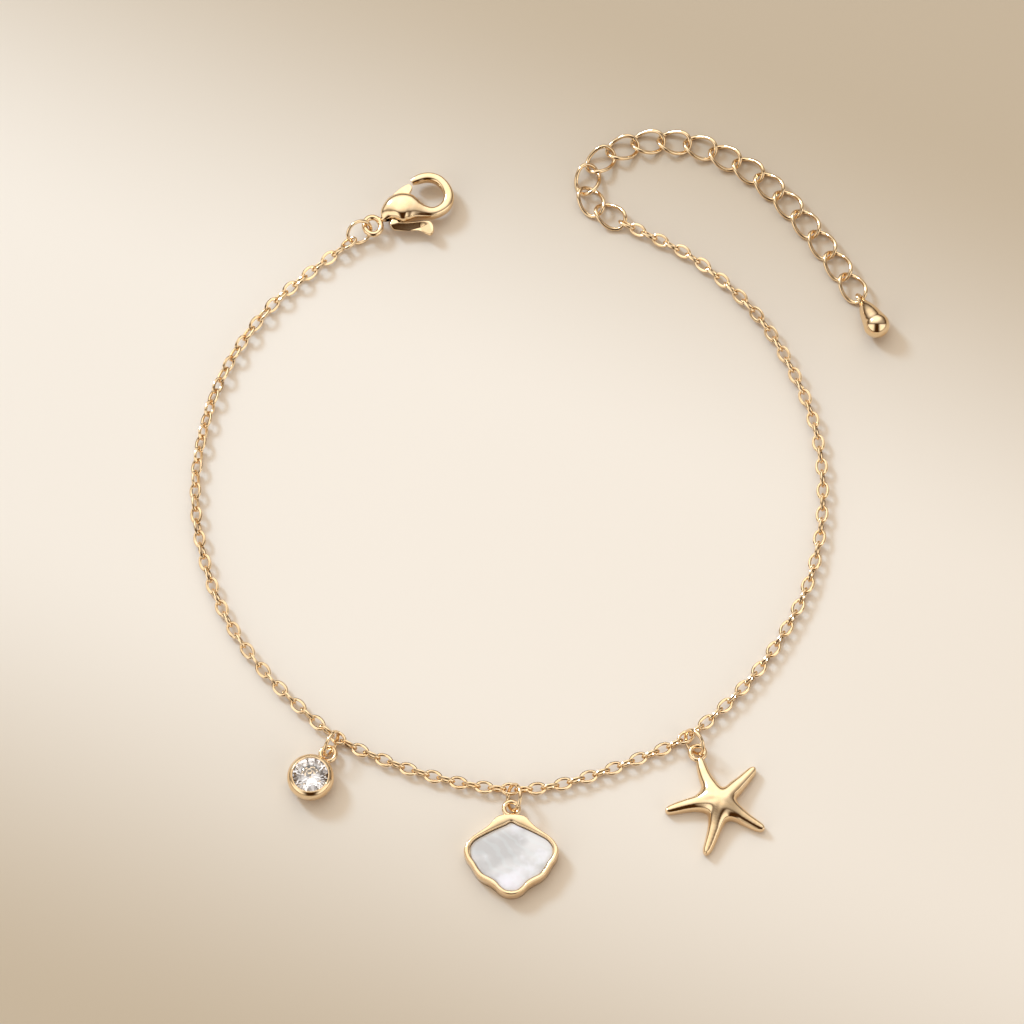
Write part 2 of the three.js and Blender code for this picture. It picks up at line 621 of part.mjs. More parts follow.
function clasp() {
  const heading = headingAt(chainCurve, 0) + Math.PI;
  const link = chainCurve.getPointAt(0).setZ(CHAIN_HEIGHT + CARRIER_LIFT);
  fineLink('end_link_clasp', placeAlong(link, heading, radians(CLASP_LINK_ROLL)));
  const room = FINE_LENGTH / 2 - FINE_WIRE - RING_WIRE / 2 - RING_CLEARANCE;
  const crossing = link.clone().addScaledVector(flatDirection(heading), CLASP_RING_SLACK * room);
  const ringHeading = heading - radians(CLASP_RING_TURN);
  const middleHeight = CLASP_THICKNESS / 2 + FLOOR_CLEARANCE;
  const crossed = jumpRing('clasp_ring', crossing, ringHeading, RING_LEANS.clasp, 1, middleHeight);
  const loopSlackHere = CLASP_LOOP_LENGTH / 2 - CLASP_LOOP_WIRE - RING_WIRE / 2 - RING_CLEARANCE;
  const loopMiddle = crossed.addScaledVector(flatDirection(ringHeading), loopSlackHere);
  const turned = inClasp(CLASP_LOOP).rotateAround(new THREE.Vector2(), radians(CLASP_TURN));
  const base = new THREE.Vector3(loopMiddle.x - turned.x, loopMiddle.y - turned.y, middleHeight);
  const place = placeAlong(base, radians(CLASP_TURN));
  addPiece('clasp_body', claspBody(), gold, place);
  addPiece('clasp_lever', claspLever(), gold, place);
}

clasp();

// Extender: it starts at the chain's last link, and its wire ends cross the link's hole

const extenderHeight = EXTENDER_TWIST + EXTENDER_WIRE / 2 + FLOOR_CLEARANCE;
const wireReach = (EXTENDER_LENGTH - EXTENDER_WIRE) / 2;
const wireTilt = Math.atan2(2 * EXTENDER_TWIST, (EXTENDER_WIDTH - EXTENDER_WIRE) / 2);
const chainEnd = chainCurve.getPointAt(1);
const extenderCurve = new THREE.CatmullRomCurve3([
  chainEnd.clone().setZ(extenderHeight),
  ...EXTENDER_ROUTE.map(([x, y]) => new THREE.Vector3(x, y, extenderHeight)),
], false, 'centripetal');
extenderCurve.arcLengthDivisions = 1000;
const extenderLength = extenderCurve.getLength();

// Shares of the extender's route where the links lie, closer together where it bends
function extenderShares() {
  const shares = [(wireReach + (FINE_LENGTH / 2 - FINE_WIRE) / 2) / extenderLength];
  while (shares.length < EXTENDER_COUNT) {
    const share = shares[shares.length - 1];
    const straight = share + EXTENDER_PITCH / extenderLength;
    const bend = extenderCurve.getTangentAt(share).angleTo(extenderCurve.getTangentAt(straight));
    shares.push(straight - EXTENDER_CROWDING * bend / extenderLength);
  }
  return shares;
}

const linkShares = extenderShares();

function extender() {
  fineLink('end_link_extender',
    placeAlong(chainEnd, headingAt(chainCurve, 1), Math.PI / 2 - wireTilt));
  linkShares.forEach((share, i) => {
    const link = ovalWire(
      EXTENDER_LENGTH, EXTENDER_WIDTH, EXTENDER_WIRE, RING_STEPS, WIRE_SIDES, EXTENDER_TWIST);
    addPiece(`extender_link_${String(i + 1).padStart(2, '0')}`, link, gold,
      placeAlong(extenderCurve.getPointAt(share), headingAt(extenderCurve, share)));
  });
}

extender();

// End drop: its loop goes round the end of the last link, its round end lies on the surface.
// Half its section from the loop on: along as a share of the reach, half as a share of the radius
const DROP_SECTION = [
  { along: 0.1, half: 0 }, { along: 0.13, half: 0.3 }, { along: 0.24, half: 0.46 },
  { along: 0.38, half: 0.61 }, { along: 0.54, half: 0.74 }, { along: 0.7, half: 0.835 },
  { along: 0.86, half: 0.925 }, { along: 0.93, half: 0.975 }, { along: 1, half: 1 },
];
const ROUND_END_STEPS = 5;

function dropBody() {
  const radius = DROP_DIAMETER / 2;
  const profile = DROP_SECTION.map(({ along, half }) => new THREE.Vector2(half * radius, along * DROP_REACH));
  for (let i = 1; i <= ROUND_END_STEPS; i += 1) {
    const turn = i / ROUND_END_STEPS * Math.PI / 2;
    profile.push(new THREE.Vector2(radius * Math.cos(turn), DROP_REACH + radius * Math.sin(turn)));
  }
  profile[profile.length - 1].setX(0);
  return closedSolid(new THREE.LatheGeometry(profile, 16)).rotate([0, 0, -90]);
}

function endDrop() {
  const lastShare = linkShares[linkShares.length - 1];
  const linkHeading = headingAt(extenderCurve, lastShare);
  const heading = linkHeading + radians(DROP_TURN);
  const loopRadius = (DROP_LOOP_DIAMETER - DROP_LOOP_WIRE) / 2;
  const slack = (loopRadius - DROP_LOOP_WIRE / 2 - EXTENDER_WIRE / 2) / 2;
  const loopCentre = extenderCurve.getPointAt(lastShare)
    .addScaledVector(flatDirection(linkHeading), wireReach - slack)
    .setZ(extenderHeight + DROP_LOOP_LIFT);
  const pitch = Math.asin((DROP_DIAMETER / 2 - loopCentre.z) / DROP_REACH);
  const loop = closedSolid(new THREE.TorusGeometry(loopRadius, DROP_LOOP_WIRE / 2, WIRE_SIDES, RING_STEPS));
  addPiece('end_drop', loop.add(dropBody()), gold,
    placeAlong(loopCentre, heading, Math.PI / 2 + wireTilt, pitch));
}

endDrop();

// The origin is at the middle of the footprint, on the surface
const bounds = new THREE.Box3().setFromObject(anklet, true);
const footprint = bounds.getCenter(new THREE.Vector3()).setZ(bounds.min.z);
anklet.position.sub(footprint);

export default anklet;
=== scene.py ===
"""Charm anklet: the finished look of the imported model, and the studio that it lies in."""

import json
import math

import bmesh
import bpy
import numpy as np
from mathutils import Matrix, Vector


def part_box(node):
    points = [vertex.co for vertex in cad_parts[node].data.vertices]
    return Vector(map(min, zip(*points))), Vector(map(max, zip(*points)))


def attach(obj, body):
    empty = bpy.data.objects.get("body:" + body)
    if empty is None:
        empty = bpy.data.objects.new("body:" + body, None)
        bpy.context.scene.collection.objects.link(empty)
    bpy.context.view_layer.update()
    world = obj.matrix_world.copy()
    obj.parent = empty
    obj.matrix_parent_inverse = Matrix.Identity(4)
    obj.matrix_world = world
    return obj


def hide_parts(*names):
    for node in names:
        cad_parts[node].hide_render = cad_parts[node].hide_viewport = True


bl_info = {
    "name": "Charm Anklet",
    "version": (1, 0, 0),
    "blender": (4, 5, 0),
    "location": "View3D > Sidebar > Anklet",
    "description": "Fine chain, charms, clasp and extender of a charm anklet, with a small studio",
    "category": "Object",
}

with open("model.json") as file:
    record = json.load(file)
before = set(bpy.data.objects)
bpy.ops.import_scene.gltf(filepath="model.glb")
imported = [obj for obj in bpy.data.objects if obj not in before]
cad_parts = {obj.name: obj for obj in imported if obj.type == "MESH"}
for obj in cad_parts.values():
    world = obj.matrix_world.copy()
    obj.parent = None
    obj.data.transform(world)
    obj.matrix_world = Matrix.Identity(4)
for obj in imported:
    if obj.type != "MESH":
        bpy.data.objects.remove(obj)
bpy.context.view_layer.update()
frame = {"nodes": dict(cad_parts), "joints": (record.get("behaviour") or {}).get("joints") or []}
NODES = frame["nodes"]
MM = 0.001
BODY = "anklet"
UP = np.array([0.0, 0.0, 1.0])

# Fine cable chain, in millimetres before the footprint is centred
CHAIN_ROUTE = [
    (-20.72, 36.0), (-25.2, 32.32), (-30.1, 27.82), (-34.0, 22.57), (-36.9, 16.87), (-38.7, 10.62),
    (-39.55, 4.22), (-39.2, -2.38), (-37.2, -10.18), (-34.3, -16.18), (-30.6, -21.28), (-26.0, -26.08),
    (-21.2, -30.08), (-14.7, -33.18), (-8.9, -35.08), (-2.7, -36.33), (3.4, -36.38), (9.4, -34.88),
    (15.3, -32.68), (21.1, -30.03), (25.85, -26.13), (30.2, -21.38), (33.9, -15.83), (36.7, -10.08),
    (38.3, -3.88), (38.85, 3.92), (37.8, 12.02), (34.9, 19.57), (31.6, 25.37), (27.25, 30.32),
    (22.2, 34.52), (16.3, 37.67), (14.6, 38.57),
]
CHAIN_HEIGHT = 0.86
# Share of the route, number of the link, and how far the even links are turned about the chain
CHAIN_STOPS = [
    {"share": 0.0, "link": 0, "roll": -30.0},
    {"share": 0.3775, "link": 49, "roll": -90.0},
    {"share": 0.4854, "link": 63, "roll": -90.0},
    {"share": 0.5953, "link": 77, "roll": -90.0},
    {"share": 1.0, "link": 130, "roll": -124.0},
]
STRETCHES = ["chain_a", "chain_b", "chain_c", "chain_d"]
FINE_NODES = ["end_link_clasp", "carrier_link_stone", "carrier_link_shell", "carrier_link_star",
              "end_link_extender"]
RING_NODES = ["ring_stone", "ring_shell", "ring_star", "clasp_ring"]
RING_DIAMETER = 3.62
RING_WIRE = 0.46

# Extender
EXTENDER_LENGTH = 4.6
EXTENDER_WIDTH = 3.42
EXTENDER_WIRE = 0.5
EXTENDER_TWIST = 0.49
EXTENDER_COUNT = 16

# Charm loops, which lie flat
LOOP_DIAMETER = 2.38
LOOP_WIRE = 0.6
LOOP_HEIGHT = 0.9

# End drop; its section runs from the loop on, along as a share of the reach, half as one of the radius
DROP_DIAMETER = 3.34
DROP_REACH = 4.35
DROP_TURN = -6.0
DROP_LOOP_DIAMETER = 1.84
DROP_LOOP_WIRE = 0.42
DROP_LOOP_LIFT = 0.06
DROP_SECTION = [(0.1, 0), (0.13, 0.3), (0.24, 0.46), (0.38, 0.61), (0.54, 0.74), (0.7, 0.835),
                (0.86, 0.925), (0.93, 0.975), (1, 1)]

# Bezel and stone; the bezel's outside as shares of its radius and height
BEZEL_DIAMETER = 5.78
BEZEL_HEIGHT = 2.85
BEZEL_OVERLAP = 0.26
BEZEL_OUTSIDE = [(0.62, 0), (0.84, 0.11), (0.95, 0.28), (0.995, 0.45), (1, 0.6), (0.98, 0.75),
                 (0.925, 0.87), (0.865, 0.935), (0.815, 0.965)]
BEZEL_LIP = [(0.808, 0.972), (0.806, 0.985), (0.797, 0.997), (0.785, 1), (0.77, 0.998)]
STONE_DIAMETER = 4.6
STONE_SHOWING = 4.36
STONE_CLEARANCE = 0.08
STONE_DEPTH = 0.66
STONE_TURN = 57.0
STONE_ROLL = 11.0
# The cut, as shares of the stone's radius; the break is where the pavilion's facets meet
TABLE_SHARE = 0.56
CROWN_SHARE = 0.2
STAR_FACET_SHARE = 0.8
BREAK_SHARE = 0.3
PAVILION_SLOPE = 0.82
CULET_SHARE = 0.25
GIRDLE_HEIGHT = 0.15

# Shell charm, half outlines from the top down
SHELL_WIDTH = 11.65
SHELL_HEIGHT = 10.45
SHELL_THICKNESS = 2.05
SHELL_BACK = 0.9
INLAY_THICKNESS = 0.75
INLAY_CLEARANCE = 0.06
# The rim stands straight up to its shoulder, and a bevel falls from its inner edge
RIM_SHOULDER = 1.3
RIM_ROUND = 0.42
RIM_BEVEL = 0.38
RIM_BEVEL_FALL = 0.42
RIM_STEP = 0.48
RIM_FOOT = [(0.16, 0.0), (0.05, 0.04), (0.0, 0.16)]
# The plate's edge and slight dome, as shares of its outline and millimetres below its crown
INLAY_EDGE = [(1.0, 0.1), (0.993, 0.05), (0.98, 0.025)]
INLAY_DOME = 0.025
SHELL_STEPS = 320
RIM_OUTLINE = [
    (0, 0), (0.17, 0.005), (0.32, 0.036), (0.41, 0.095), (0.52, 0.155), (0.67, 0.215), (0.81, 0.27),
    (0.925, 0.34), (1, 0.435), (0.95, 0.55), (0.86, 0.625), (0.795, 0.69), (0.71, 0.758), (0.6, 0.807),
    (0.46, 0.85), (0.355, 0.892), (0.25, 0.95), (0.13, 0.987), (0, 1),
]
INLAY_OUTLINE = [
    (0, 0.101), (0.13, 0.136), (0.333, 0.187), (0.58, 0.257), (0.775, 0.326), (0.865, 0.4), (0.877, 0.472),
    (0.845, 0.53), (0.76, 0.6), (0.685, 0.672), (0.59, 0.735), (0.45, 0.777), (0.33, 0.817),
    (0.235, 0.88), (0.13, 0.926), (0, 0.94),
]

# Starfish charm
STAR_HEIGHT = 2.3
STAR_TIP_HEIGHT = 1.25
STAR_SIDE = 0.35
STAR_CROTCH = 2.05
STAR_ARM = 6.6
STAR_ARM_WIDTH = 1.75
STAR_FULLNESS = 0.72
STAR_SLOPE = 1.25
STAR_GRAIN = 0.07
STAR_POLISH = 44
STAR_ARMS = [
    {"heading": 114, "length": 0.93, "bend": 0.07, "crotch": 1.4},
    {"heading": 191, "length": 1.05, "bend": -0.04, "crotch": 1.14},
    {"heading": 254, "length": 1.08, "bend": 0.03, "crotch": 1.3},
    {"heading": 326, "length": 0.98, "bend": -0.03, "crotch": 0.98},
    {"heading": 405, "length": 0.92, "bend": -0.02, "crotch": 0.85},
]
ARM_STATIONS = [(0.44, 1.1), (0.54, 0.98), (0.66, 0.87), (0.8, 0.77), (0.9, 0.66), (0.96, 0.5),
                (0.99, 0.28), (1, 0)]

# Lobster clasp: along and across the clasp as shares of its length and width
CLASP_LENGTH = 9.45
CLASP_WIDTH = 6.1
CLASP_THICKNESS = 3.0
CLASP_TURN = 16.4
CLASP_FULLNESS = 0.7
CLASP_LOOP_LENGTH = 2.8
CLASP_LOOP_WIDTH = 3.1
CLASP_LOOP_WIRE = 0.76
CLASP_LOOP = (-0.162, -0.155)
LEVER_THICKNESS = 0.66
SLOT_CLEARANCE = 0.14
LEVER_SWING = 24.0
SLOT_POSITIONS = 7
PIVOT = (0.159, 0.05)
# The trigger's top falls outward from its edge, up to the flare
TRIGGER_EDGE = -0.25
TRIGGER_WIDTH = 1.25
TRIGGER_FALL = 0.55
TRIGGER_CURVE = 1.2
TRIGGER_FLARE = 0.58
LEVER_GRAIN = 0.05
LEVER_POLISH = 30
PIN_DIAMETER = 0.6
PIN_CLEARANCE = 0.08
# The body's middle line from the tail to the hook's tip, along and across, then half width and thickness
CLASP_SECTIONS = [
    (-0.035, -0.07, 0.07, 0.2), (0.0, -0.06, 0.15, 0.36), (0.08, 0.015, 0.36, 0.7),
    (0.172, 0.055, 0.56, 0.93), (0.265, 0.052, 0.645, 1.0), (0.353, 0.015, 0.625, 0.99),
    (0.423, -0.045, 0.515, 0.92), (0.487, -0.107, 0.365, 0.82), (0.56, -0.172, 0.28, 0.7),
    (0.645, -0.228, 0.235, 0.61), (0.74, -0.232, 0.22, 0.56), (0.853, -0.165, 0.228, 0.54),
    (0.93, -0.005, 0.222, 0.52), (0.94, 0.2, 0.21, 0.5), (0.882, 0.425, 0.203, 0.48),
    (0.795, 0.54, 0.2, 0.47), (0.7, 0.585, 0.195, 0.46), (0.595, 0.58, 0.18, 0.43),
    (0.515, 0.56, 0.12, 0.32),
]
# The lever seen from above: round the trigger, then round the gate
LEVER_OUTLINE = [
    (0.068, -0.287), (0.092, -0.352), (0.169, -0.402), (0.265, -0.451), (0.37, -0.489), (0.444, -0.541),
    (0.497, -0.639), (0.545, -0.697), (0.598, -0.648), (0.619, -0.541), (0.608, -0.443), (0.582, -0.393),
    (0.529, -0.36), (0.444, -0.335), (0.339, -0.308), (0.243, -0.272), (0.19, -0.235), (0.201, -0.148),
    (0.238, -0.016), (0.286, 0.09), (0.349, 0.189), (0.413, 0.272), (0.476, 0.361), (0.502, 0.43),
    (0.497, 0.475), (0.478, 0.528), (0.403, 0.516), (0.328, 0.475), (0.265, 0.43), (0.18, 0.344),
    (0.116, 0.221), (0.085, 0.082), (0.093, -0.049), (0.1, -0.164), (0.066, -0.213),
]

# The panel overhead ends at a plane that leans back; its normal along y and z, and its distance
SKY_TILT = (0.94, 0.34)
SKY_EDGE = 0.14
# Where the panel overhead is brightest, and how it fades in from its edge, the horizon and afar
SKY_CENTRE = (-0.25, 0.75, 0.61)
OVERHEAD_EDGE = (SKY_EDGE - 0.06, SKY_EDGE + 0.2)
OVERHEAD_RISE = (0.0, 0.7)
OVERHEAD_FOCUS = (0.4, 1.0)
OVERHEAD_AFAR = 0.24
# The two panels in front: their fading in from the same plane, from the middle and the horizon
FRONT_EDGE = (-0.05, 0.2)
FRONT_SIDE = (0.18, 0.6)
FRONT_RISE = (0.0, 0.22)
FRONT_SHARE = 0.75

# Key light and table, in metres; painted shade on the table grows along a slant across it and away from its
# middle
KEY_PLACE = (-0.5, 0.47, 0.5)
KEY_SIZE = 0.2
TABLE_SLANT = 0.4
TABLE_FAR = (0.012, 0.075)
TABLE_NEAR = (0.025, 0.09)
TABLE_ROUND = (0.015, 0.07)
TABLE_PAINTED_SHADE = 0.88
TABLE_ROUND_PAINTED_SHADE = 0.06
TABLE_HALF = 0.9

# Camera of the photograph
CAMERA_ELEVATION = 70.0
CAMERA_LENS = 200.0
CAMERA_SENSOR = 36.0
PHOTO_SIDE = 1024
PIXELS_PER_MM = 8.0


# Curves

def spline(points, closed=False, per_span=8):
    """A centripetal curve through points; the first two columns set its pace."""
    points = np.array(points, float)
    if closed:
        padded = np.vstack([points[-1], points, points[:2]])
    else:
        padded = np.vstack([2 * points[0] - points[1], points, 2 * points[-1] - points[-2]])
    out = []
    share = np.linspace(0, 1, per_span, endpoint=False)[:, None]
    for p0, p1, p2, p3 in zip(padded, padded[1:], padded[2:], padded[3:]):
        d0, d1, d2 = (max(np.linalg.norm(b[:2] - a[:2]), 1e-9) ** 0.5
                      for a, b in ((p0, p1), (p1, p2), (p2, p3)))
        start = ((p1 - p0) / d0 - (p2 - p0) / (d0 + d1) + (p2 - p1) / d1) * d1
        end = ((p2 - p1) / d1 - (p3 - p1) / (d1 + d2) + (p3 - p2) / d2) * d1
        out.append(p1 + start * share + (3 * (p2 - p1) - 2 * start - end) * share ** 2
                   + (2 * (p1 - p2) + start + end) * share ** 3)
    if not closed:
        out.append(points[-1:])
    return np.vstack(out)


def even(points, count):
    """The same open curve in steps of one length."""
    reach = np.concatenate([[0], np.cumsum(np.linalg.norm(np.diff(points, axis=0), axis=1))])
    wanted = np.linspace(0, reach[-1], count)
    return np.stack([np.interp(wanted, reach, column) for column in points.T], axis=1)


class Route:
    """A curve that is walked by shares of its length."""

    def __init__(self, points):
        self.points = spline(points, per_span=60)
        steps = np.linalg.norm(np.diff(self.points, axis=0), axis=1)
        self.reach = np.concatenate([[0], np.cumsum(steps)])
        self.length = self.reach[-1]

    def at(self, share):
        return np.array([np.interp(share * self.length, self.reach, column) for column in self.points.T])

    def heading(self, share):
        ahead = self.at(min(share + 0.0005, 1)) - self.at(max(share - 0.0005, 0))
        return math.atan2(ahead[1], ahead[0])


# Places

def middle(node):
    low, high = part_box(node)
    return np.array((low + high) / 2) / MM


def corner(node):
    return np.array(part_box(node)[0]) / MM


def turning(heading, roll=0.0, pitch=0.0):
    """Columns of a place that runs along heading, rolled about itself and pitched up."""
    level = Matrix.Rotation(heading, 3, "Z")
    return np.array(level @ Matrix.Rotation(-pitch, 3, "Y") @ Matrix.Rotation(roll, 3, "X"))


def own_place(node):
    """Middle and axes of a node, longest first, from the spread of its corners."""
    corners = np.array([v.co for v in NODES[node].data.vertices]) / MM
    centre = (corners.min(0) + corners.max(0)) / 2
    for _ in range(3):
        axes = np.linalg.svd(corners - centre, full_matrices=False)[2].T
        local = (corners - centre) @ axes
        centre = centre + axes @ ((local.min(0) + local.max(0)) / 2)
    if np.linalg.det(axes) < 0:
        axes[:, 2] *= -1
    return centre, axes


chain_route = Route(CHAIN_ROUTE)
SHIFT = middle("end_link_extender") - np.array([*CHAIN_ROUTE[-1], CHAIN_HEIGHT])


# Meshes

class Form:
    """Points in millimetres and faces, gathered for one mesh."""

    def __init__(self):
        self.points = np.zeros((0, 3))
        self.faces = []

    def add(self, points, faces):
        start = len(self.points)
        self.points = np.vstack([self.points, points])
        self.faces.extend(tuple(start + i for i in face) for face in faces)
        return self

    def net(self, rows, wrap_rows=False, wrap_columns=True, caps=False):
        """Rows of points joined by quads, with a face over each end where caps is set."""
        rows = np.asarray(rows, float)
        count, width = rows.shape[:2]
        faces = []
        for i in range(count if wrap_rows else count - 1):
            for j in range(width if wrap_columns else width - 1):
                a, b = i * width, (i + 1) % count * width
                faces.append((a + j, a + (j + 1) % width, b + (j + 1) % width, b + j))
        if caps:
            faces.append(tuple(range(width))[::-1])
            faces.append(tuple((count - 1) * width + j for j in range(width)))
        return self.add(rows.reshape(-1, 3), faces)

    def placed(self, centre, axes):
        self.points = self.points @ np.asarray(axes).T + np.asarray(centre)
        return self


def wire(centre, radius, steps, sides):
    """A closed wire whose middle line is centre(turn)."""
    rows = []
    for k in range(steps):
        turn = 2 * math.pi * k / steps
        tangent = centre(turn + 1e-3) - centre(turn - 1e-3)
        tangent /= np.linalg.norm(tangent)
        upward = UP - tangent * tangent[2]
        upward /= np.linalg.norm(upward)
        sideways = np.cross(tangent, upward)
        roll = 2 * math.pi * np.arange(sides)[:, None] / sides
        rows.append(centre(turn) + radius * (np.cos(roll) * sideways + np.sin(roll) * upward))
    return Form().net(rows, wrap_rows=True)


def oval(length, width, thickness, steps, sides, twist=0.0):
    a = (length - thickness) / 2
    b = (width - thickness) / 2
    return wire(lambda turn: np.array([a * math.cos(turn), b * math.sin(turn), twist * math.sin(2 * turn)]),
                thickness / 2, steps, sides)


def lathe(profile, steps=96):
    """A turned form; the profile starts and ends on the axis."""
    turns = 2 * math.pi * np.arange(steps) / steps
    inner = profile[1:-1]
    rows = np.stack([np.stack([inner[:, 0] * math.cos(t), inner[:, 0] * math.sin(t), inner[:, 1]], 1)
                     for t in turns])
    form = Form().net(rows, wrap_rows=True, wrap_columns=False)
    start = len(form.points)
    width = len(inner)
    form.add([(0, 0, profile[0, 1]), (0, 0, profile[-1, 1])], [])
    for k in range(steps):
        here, there = k * width, (k + 1) % steps * width
        form.faces.append((start, there, here))
        form.faces.append((start + 1, here + width - 1, there + width - 1))
    return form


def mesh_of(name, form):
    mesh = bpy.data.meshes.new(name)
    mesh.from_pydata([tuple(p) for p in form.points * MM], [], form.faces)
    tidy = bmesh.new()
    tidy.from_mesh(mesh)
    bmesh.ops.remove_doubles(tidy, verts=tidy.verts, dist=1e-8)
    bmesh.ops.recalc_face_normals(tidy, faces=tidy.faces)
    tidy.to_mesh(mesh)
    tidy.free()
    return mesh


def loose(name, form):
    obj = bpy.data.objects.new(name, mesh_of(name, form))
    bpy.context.scene.collection.objects.link(obj)
    return obj


def settle(obj):
    """Applies the modifiers."""
    bpy.context.view_layer.update()
    result = bpy.data.meshes.new_from_object(obj.evaluated_get(bpy.context.evaluated_depsgraph_get()))
    obj.modifiers.clear()
    obj.data = result


def combine(obj, form, operation):
    """Joins a form to the piece, or cuts it out."""
    tool = loose("tool", form)
    step = obj.modifiers.new("combine", "BOOLEAN")
    step.object = tool
    step.operation = operation
    step.solver = "EXACT"
    settle(obj)
    bpy.data.objects.remove(tool)


def soften(obj, grain, rounds):
    """Rounds creases and crotches off, as casting and polishing do."""
    even_net = obj.modifiers.new("even net", "REMESH")
    even_net.mode = "VOXEL"
    even_net.voxel_size = grain * MM
    polish = obj.modifiers.new("polish", "SMOOTH")
    polish.iterations = rounds
    settle(obj)


def finished(obj, finish, nodes, body=BODY, sharp=35.0):
    """Gives the piece its finish, its shading and its place on a body of the frame."""
    obj.data.materials.clear()
    obj.data.materials.append(finish)
    obj.data.shade_smooth()
    obj.data.set_sharp_from_angle(angle=math.radians(sharp))
    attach(obj, body)
    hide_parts(*nodes)


# Materials

class Link:
    """An output socket that takes part in sums."""

    def __init__(self, recipe, socket):
        self.recipe = recipe
        self.socket = socket

    def sum_with(self, operation, first, second):
        return self.recipe.node("ShaderNodeMath", {"operation": operation}, {0: first, 1: second})

    def __add__(self, other):
        return self.sum_with("ADD", self, other)

    __radd__ = __add__

    def __rsub__(self, other):
        return self.sum_with("SUBTRACT", other, self)

    def __mul__(self, other):
        return self.sum_with("MULTIPLY", self, other)

    __rmul__ = __mul__


class Recipe:
    """The nodes of one material or of the world."""

    def __init__(self, owner):
        owner.use_nodes = True
        self.tree = owner.node_tree
        self.tree.nodes.clear()

    def node(self, kind, settings=None, values=None, out=0):
        """Adds a node: its settings first, then the values or links of its sockets."""
        made = self.tree.nodes.new(kind)
        for key, value in (settings or {}).items():
            setattr(made, key, value)
        for key, value in (values or {}).items():
            if isinstance(value, Link):
                self.tree.links.new(value.socket, made.inputs[key])
            else:
                made.inputs[key].default_value = value
        return Link(self, made.outputs[out])

    def mixed(self, factor, first, second):
        return self.node("ShaderNodeMix", {"data_type": "RGBA"}, {0: factor, 6: first, 7: second}, out=2)

    def parts(self, vector):
        """The x, y and z of a vector."""
        split = self.node("ShaderNodeSeparateXYZ", {}, {0: vector}).socket.node
        return (Link(self, output) for output in split.outputs)

    def noise(self, scale, detail=4.0, roughness=0.5, stretch=(1.0, 1.0, 1.0), at=None):
        where = at or self.place(stretch)
        return self.node("ShaderNodeTexNoise", {},
                         {"Vector": where, "Scale": scale, "Detail": detail, "Roughness": roughness})

    def place(self, stretch=(1.0, 1.0, 1.0)):
        spot = self.node("ShaderNodeNewGeometry")
        return self.node("ShaderNodeVectorMath", {"operation": "MULTIPLY"}, {0: spot, 1: stretch})

    def band(self, value, low, high):
        return self.node("ShaderNodeMapRange", {"interpolation_type": "SMOOTHSTEP"},
                         {"Value": value, "From Min": low, "From Max": high})

    def bump(self, height, strength, distance):
        return self.node("ShaderNodeBump", {},
                         {"Height": height, "Strength": strength, "Distance": distance})

    def surface(self, values):
        shader = self.node("ShaderNodeBsdfPrincipled", {}, values)
        self.node_out("ShaderNodeOutputMaterial", shader)

    def node_out(self, kind, shader):
        end = self.tree.nodes.new(kind)
        self.tree.links.new(shader.socket, end.inputs[0])


def blank(name):
    material = bpy.data.materials.new(name)
    return material, Recipe(material)


def polished_gold(settings):
    """Pale gold plate: hand polished, with faint swirls and a slightly uneven tone."""
    known = bpy.data.materials.get("Polished pale gold")
    if known:
        return known
    material, recipe = blank("Polished pale gold")
    cloud = recipe.noise(700.0, 3.0)
    grain = recipe.noise(5200.0, 3.0, 0.6)
    swirl = recipe.noise(2600.0, 2.0, 0.5, (1.0, 3.0, 1.0))
    tone = recipe.mixed(recipe.band(cloud, 0.35, 0.65), (*settings.gold_warm, 1), (*settings.gold_colour, 1))
    rough = settings.gold_roughness + 0.05 * recipe.band(swirl, 0.45, 0.75) + 0.02 * grain
    recipe.surface({
        "Base Color": tone,
        "Metallic": 1.0,
        "Roughness": rough,
        "Normal": recipe.bump(cloud + 0.25 * swirl, 0.05, 0.00004),
    })
    return material


def clear_stone(settings):
    """A colourless cut stone with faint dust on its facets."""
    material, recipe = blank("Clear cut stone")
    dust = recipe.noise(4200.0, 2.0)
    recipe.surface({
        "Base Color": (*settings.stone_colour, 1),
        "Roughness": 0.006 + 0.012 * recipe.band(dust, 0.5, 0.8),
        "IOR": settings.stone_index,
        "Transmission Weight": 1.0,
    })
    return material


def mother_of_pearl(settings):
    """White nacre: soft grey and lilac clouds, fine growth lines and a slight play of colour, with painted
    highlights as near-white patches.
    """
    material, recipe = blank("Mother-of-pearl")
    where = recipe.place((1.0, 1.4, 1.0))
    cloud = recipe.noise(250.0, 2.5, 0.45, at=where)
    glint = recipe.noise(420.0, 3.0, 0.55)
    drift = recipe.noise(170.0, 2.0, 0.5)
    warped = recipe.node("ShaderNodeVectorMath", {"operation": "MULTIPLY_ADD"},
                         {0: recipe.node("ShaderNodeTexNoise", {}, {"Vector": where, "Scale": 260.0}, out=1),
                          1: (0.004, 0.004, 0.0), 2: where})
    lines = recipe.node("ShaderNodeTexWave", {"wave_type": "BANDS", "bands_direction": "DIAGONAL"},
                        {"Vector": warped, "Scale": 260.0, "Distortion": 3.0, "Detail": 2.0})
    base = recipe.mixed(recipe.band(cloud, 0.36, 0.66),
                        (*settings.pearl_shade, 1), (*settings.pearl_colour, 1))
    rosy = recipe.mixed(recipe.band(drift, 0.48, 0.7), base, (*settings.pearl_rose, 1))
    green = recipe.mixed(0.12 * recipe.band(lines, 0.55, 0.95), rosy, (*settings.pearl_green, 1))
    # Painted highlight: near-white patches mixed into the nacre's colour where the noise above is high.
    bright = recipe.mixed(0.45 * recipe.band(glint, 0.55, 0.72), green, (*settings.pearl_painted_glint, 1))
    recipe.surface({
        "Base Color": bright,
        "Roughness": 0.2 + 0.1 * cloud,
        "Coat Weight": 0.7,
        "Coat Roughness": 0.04,
        "Specular IOR Level": 0.6,
        "Normal": recipe.bump(lines + cloud, 0.12, 0.00004),
    })
    return material


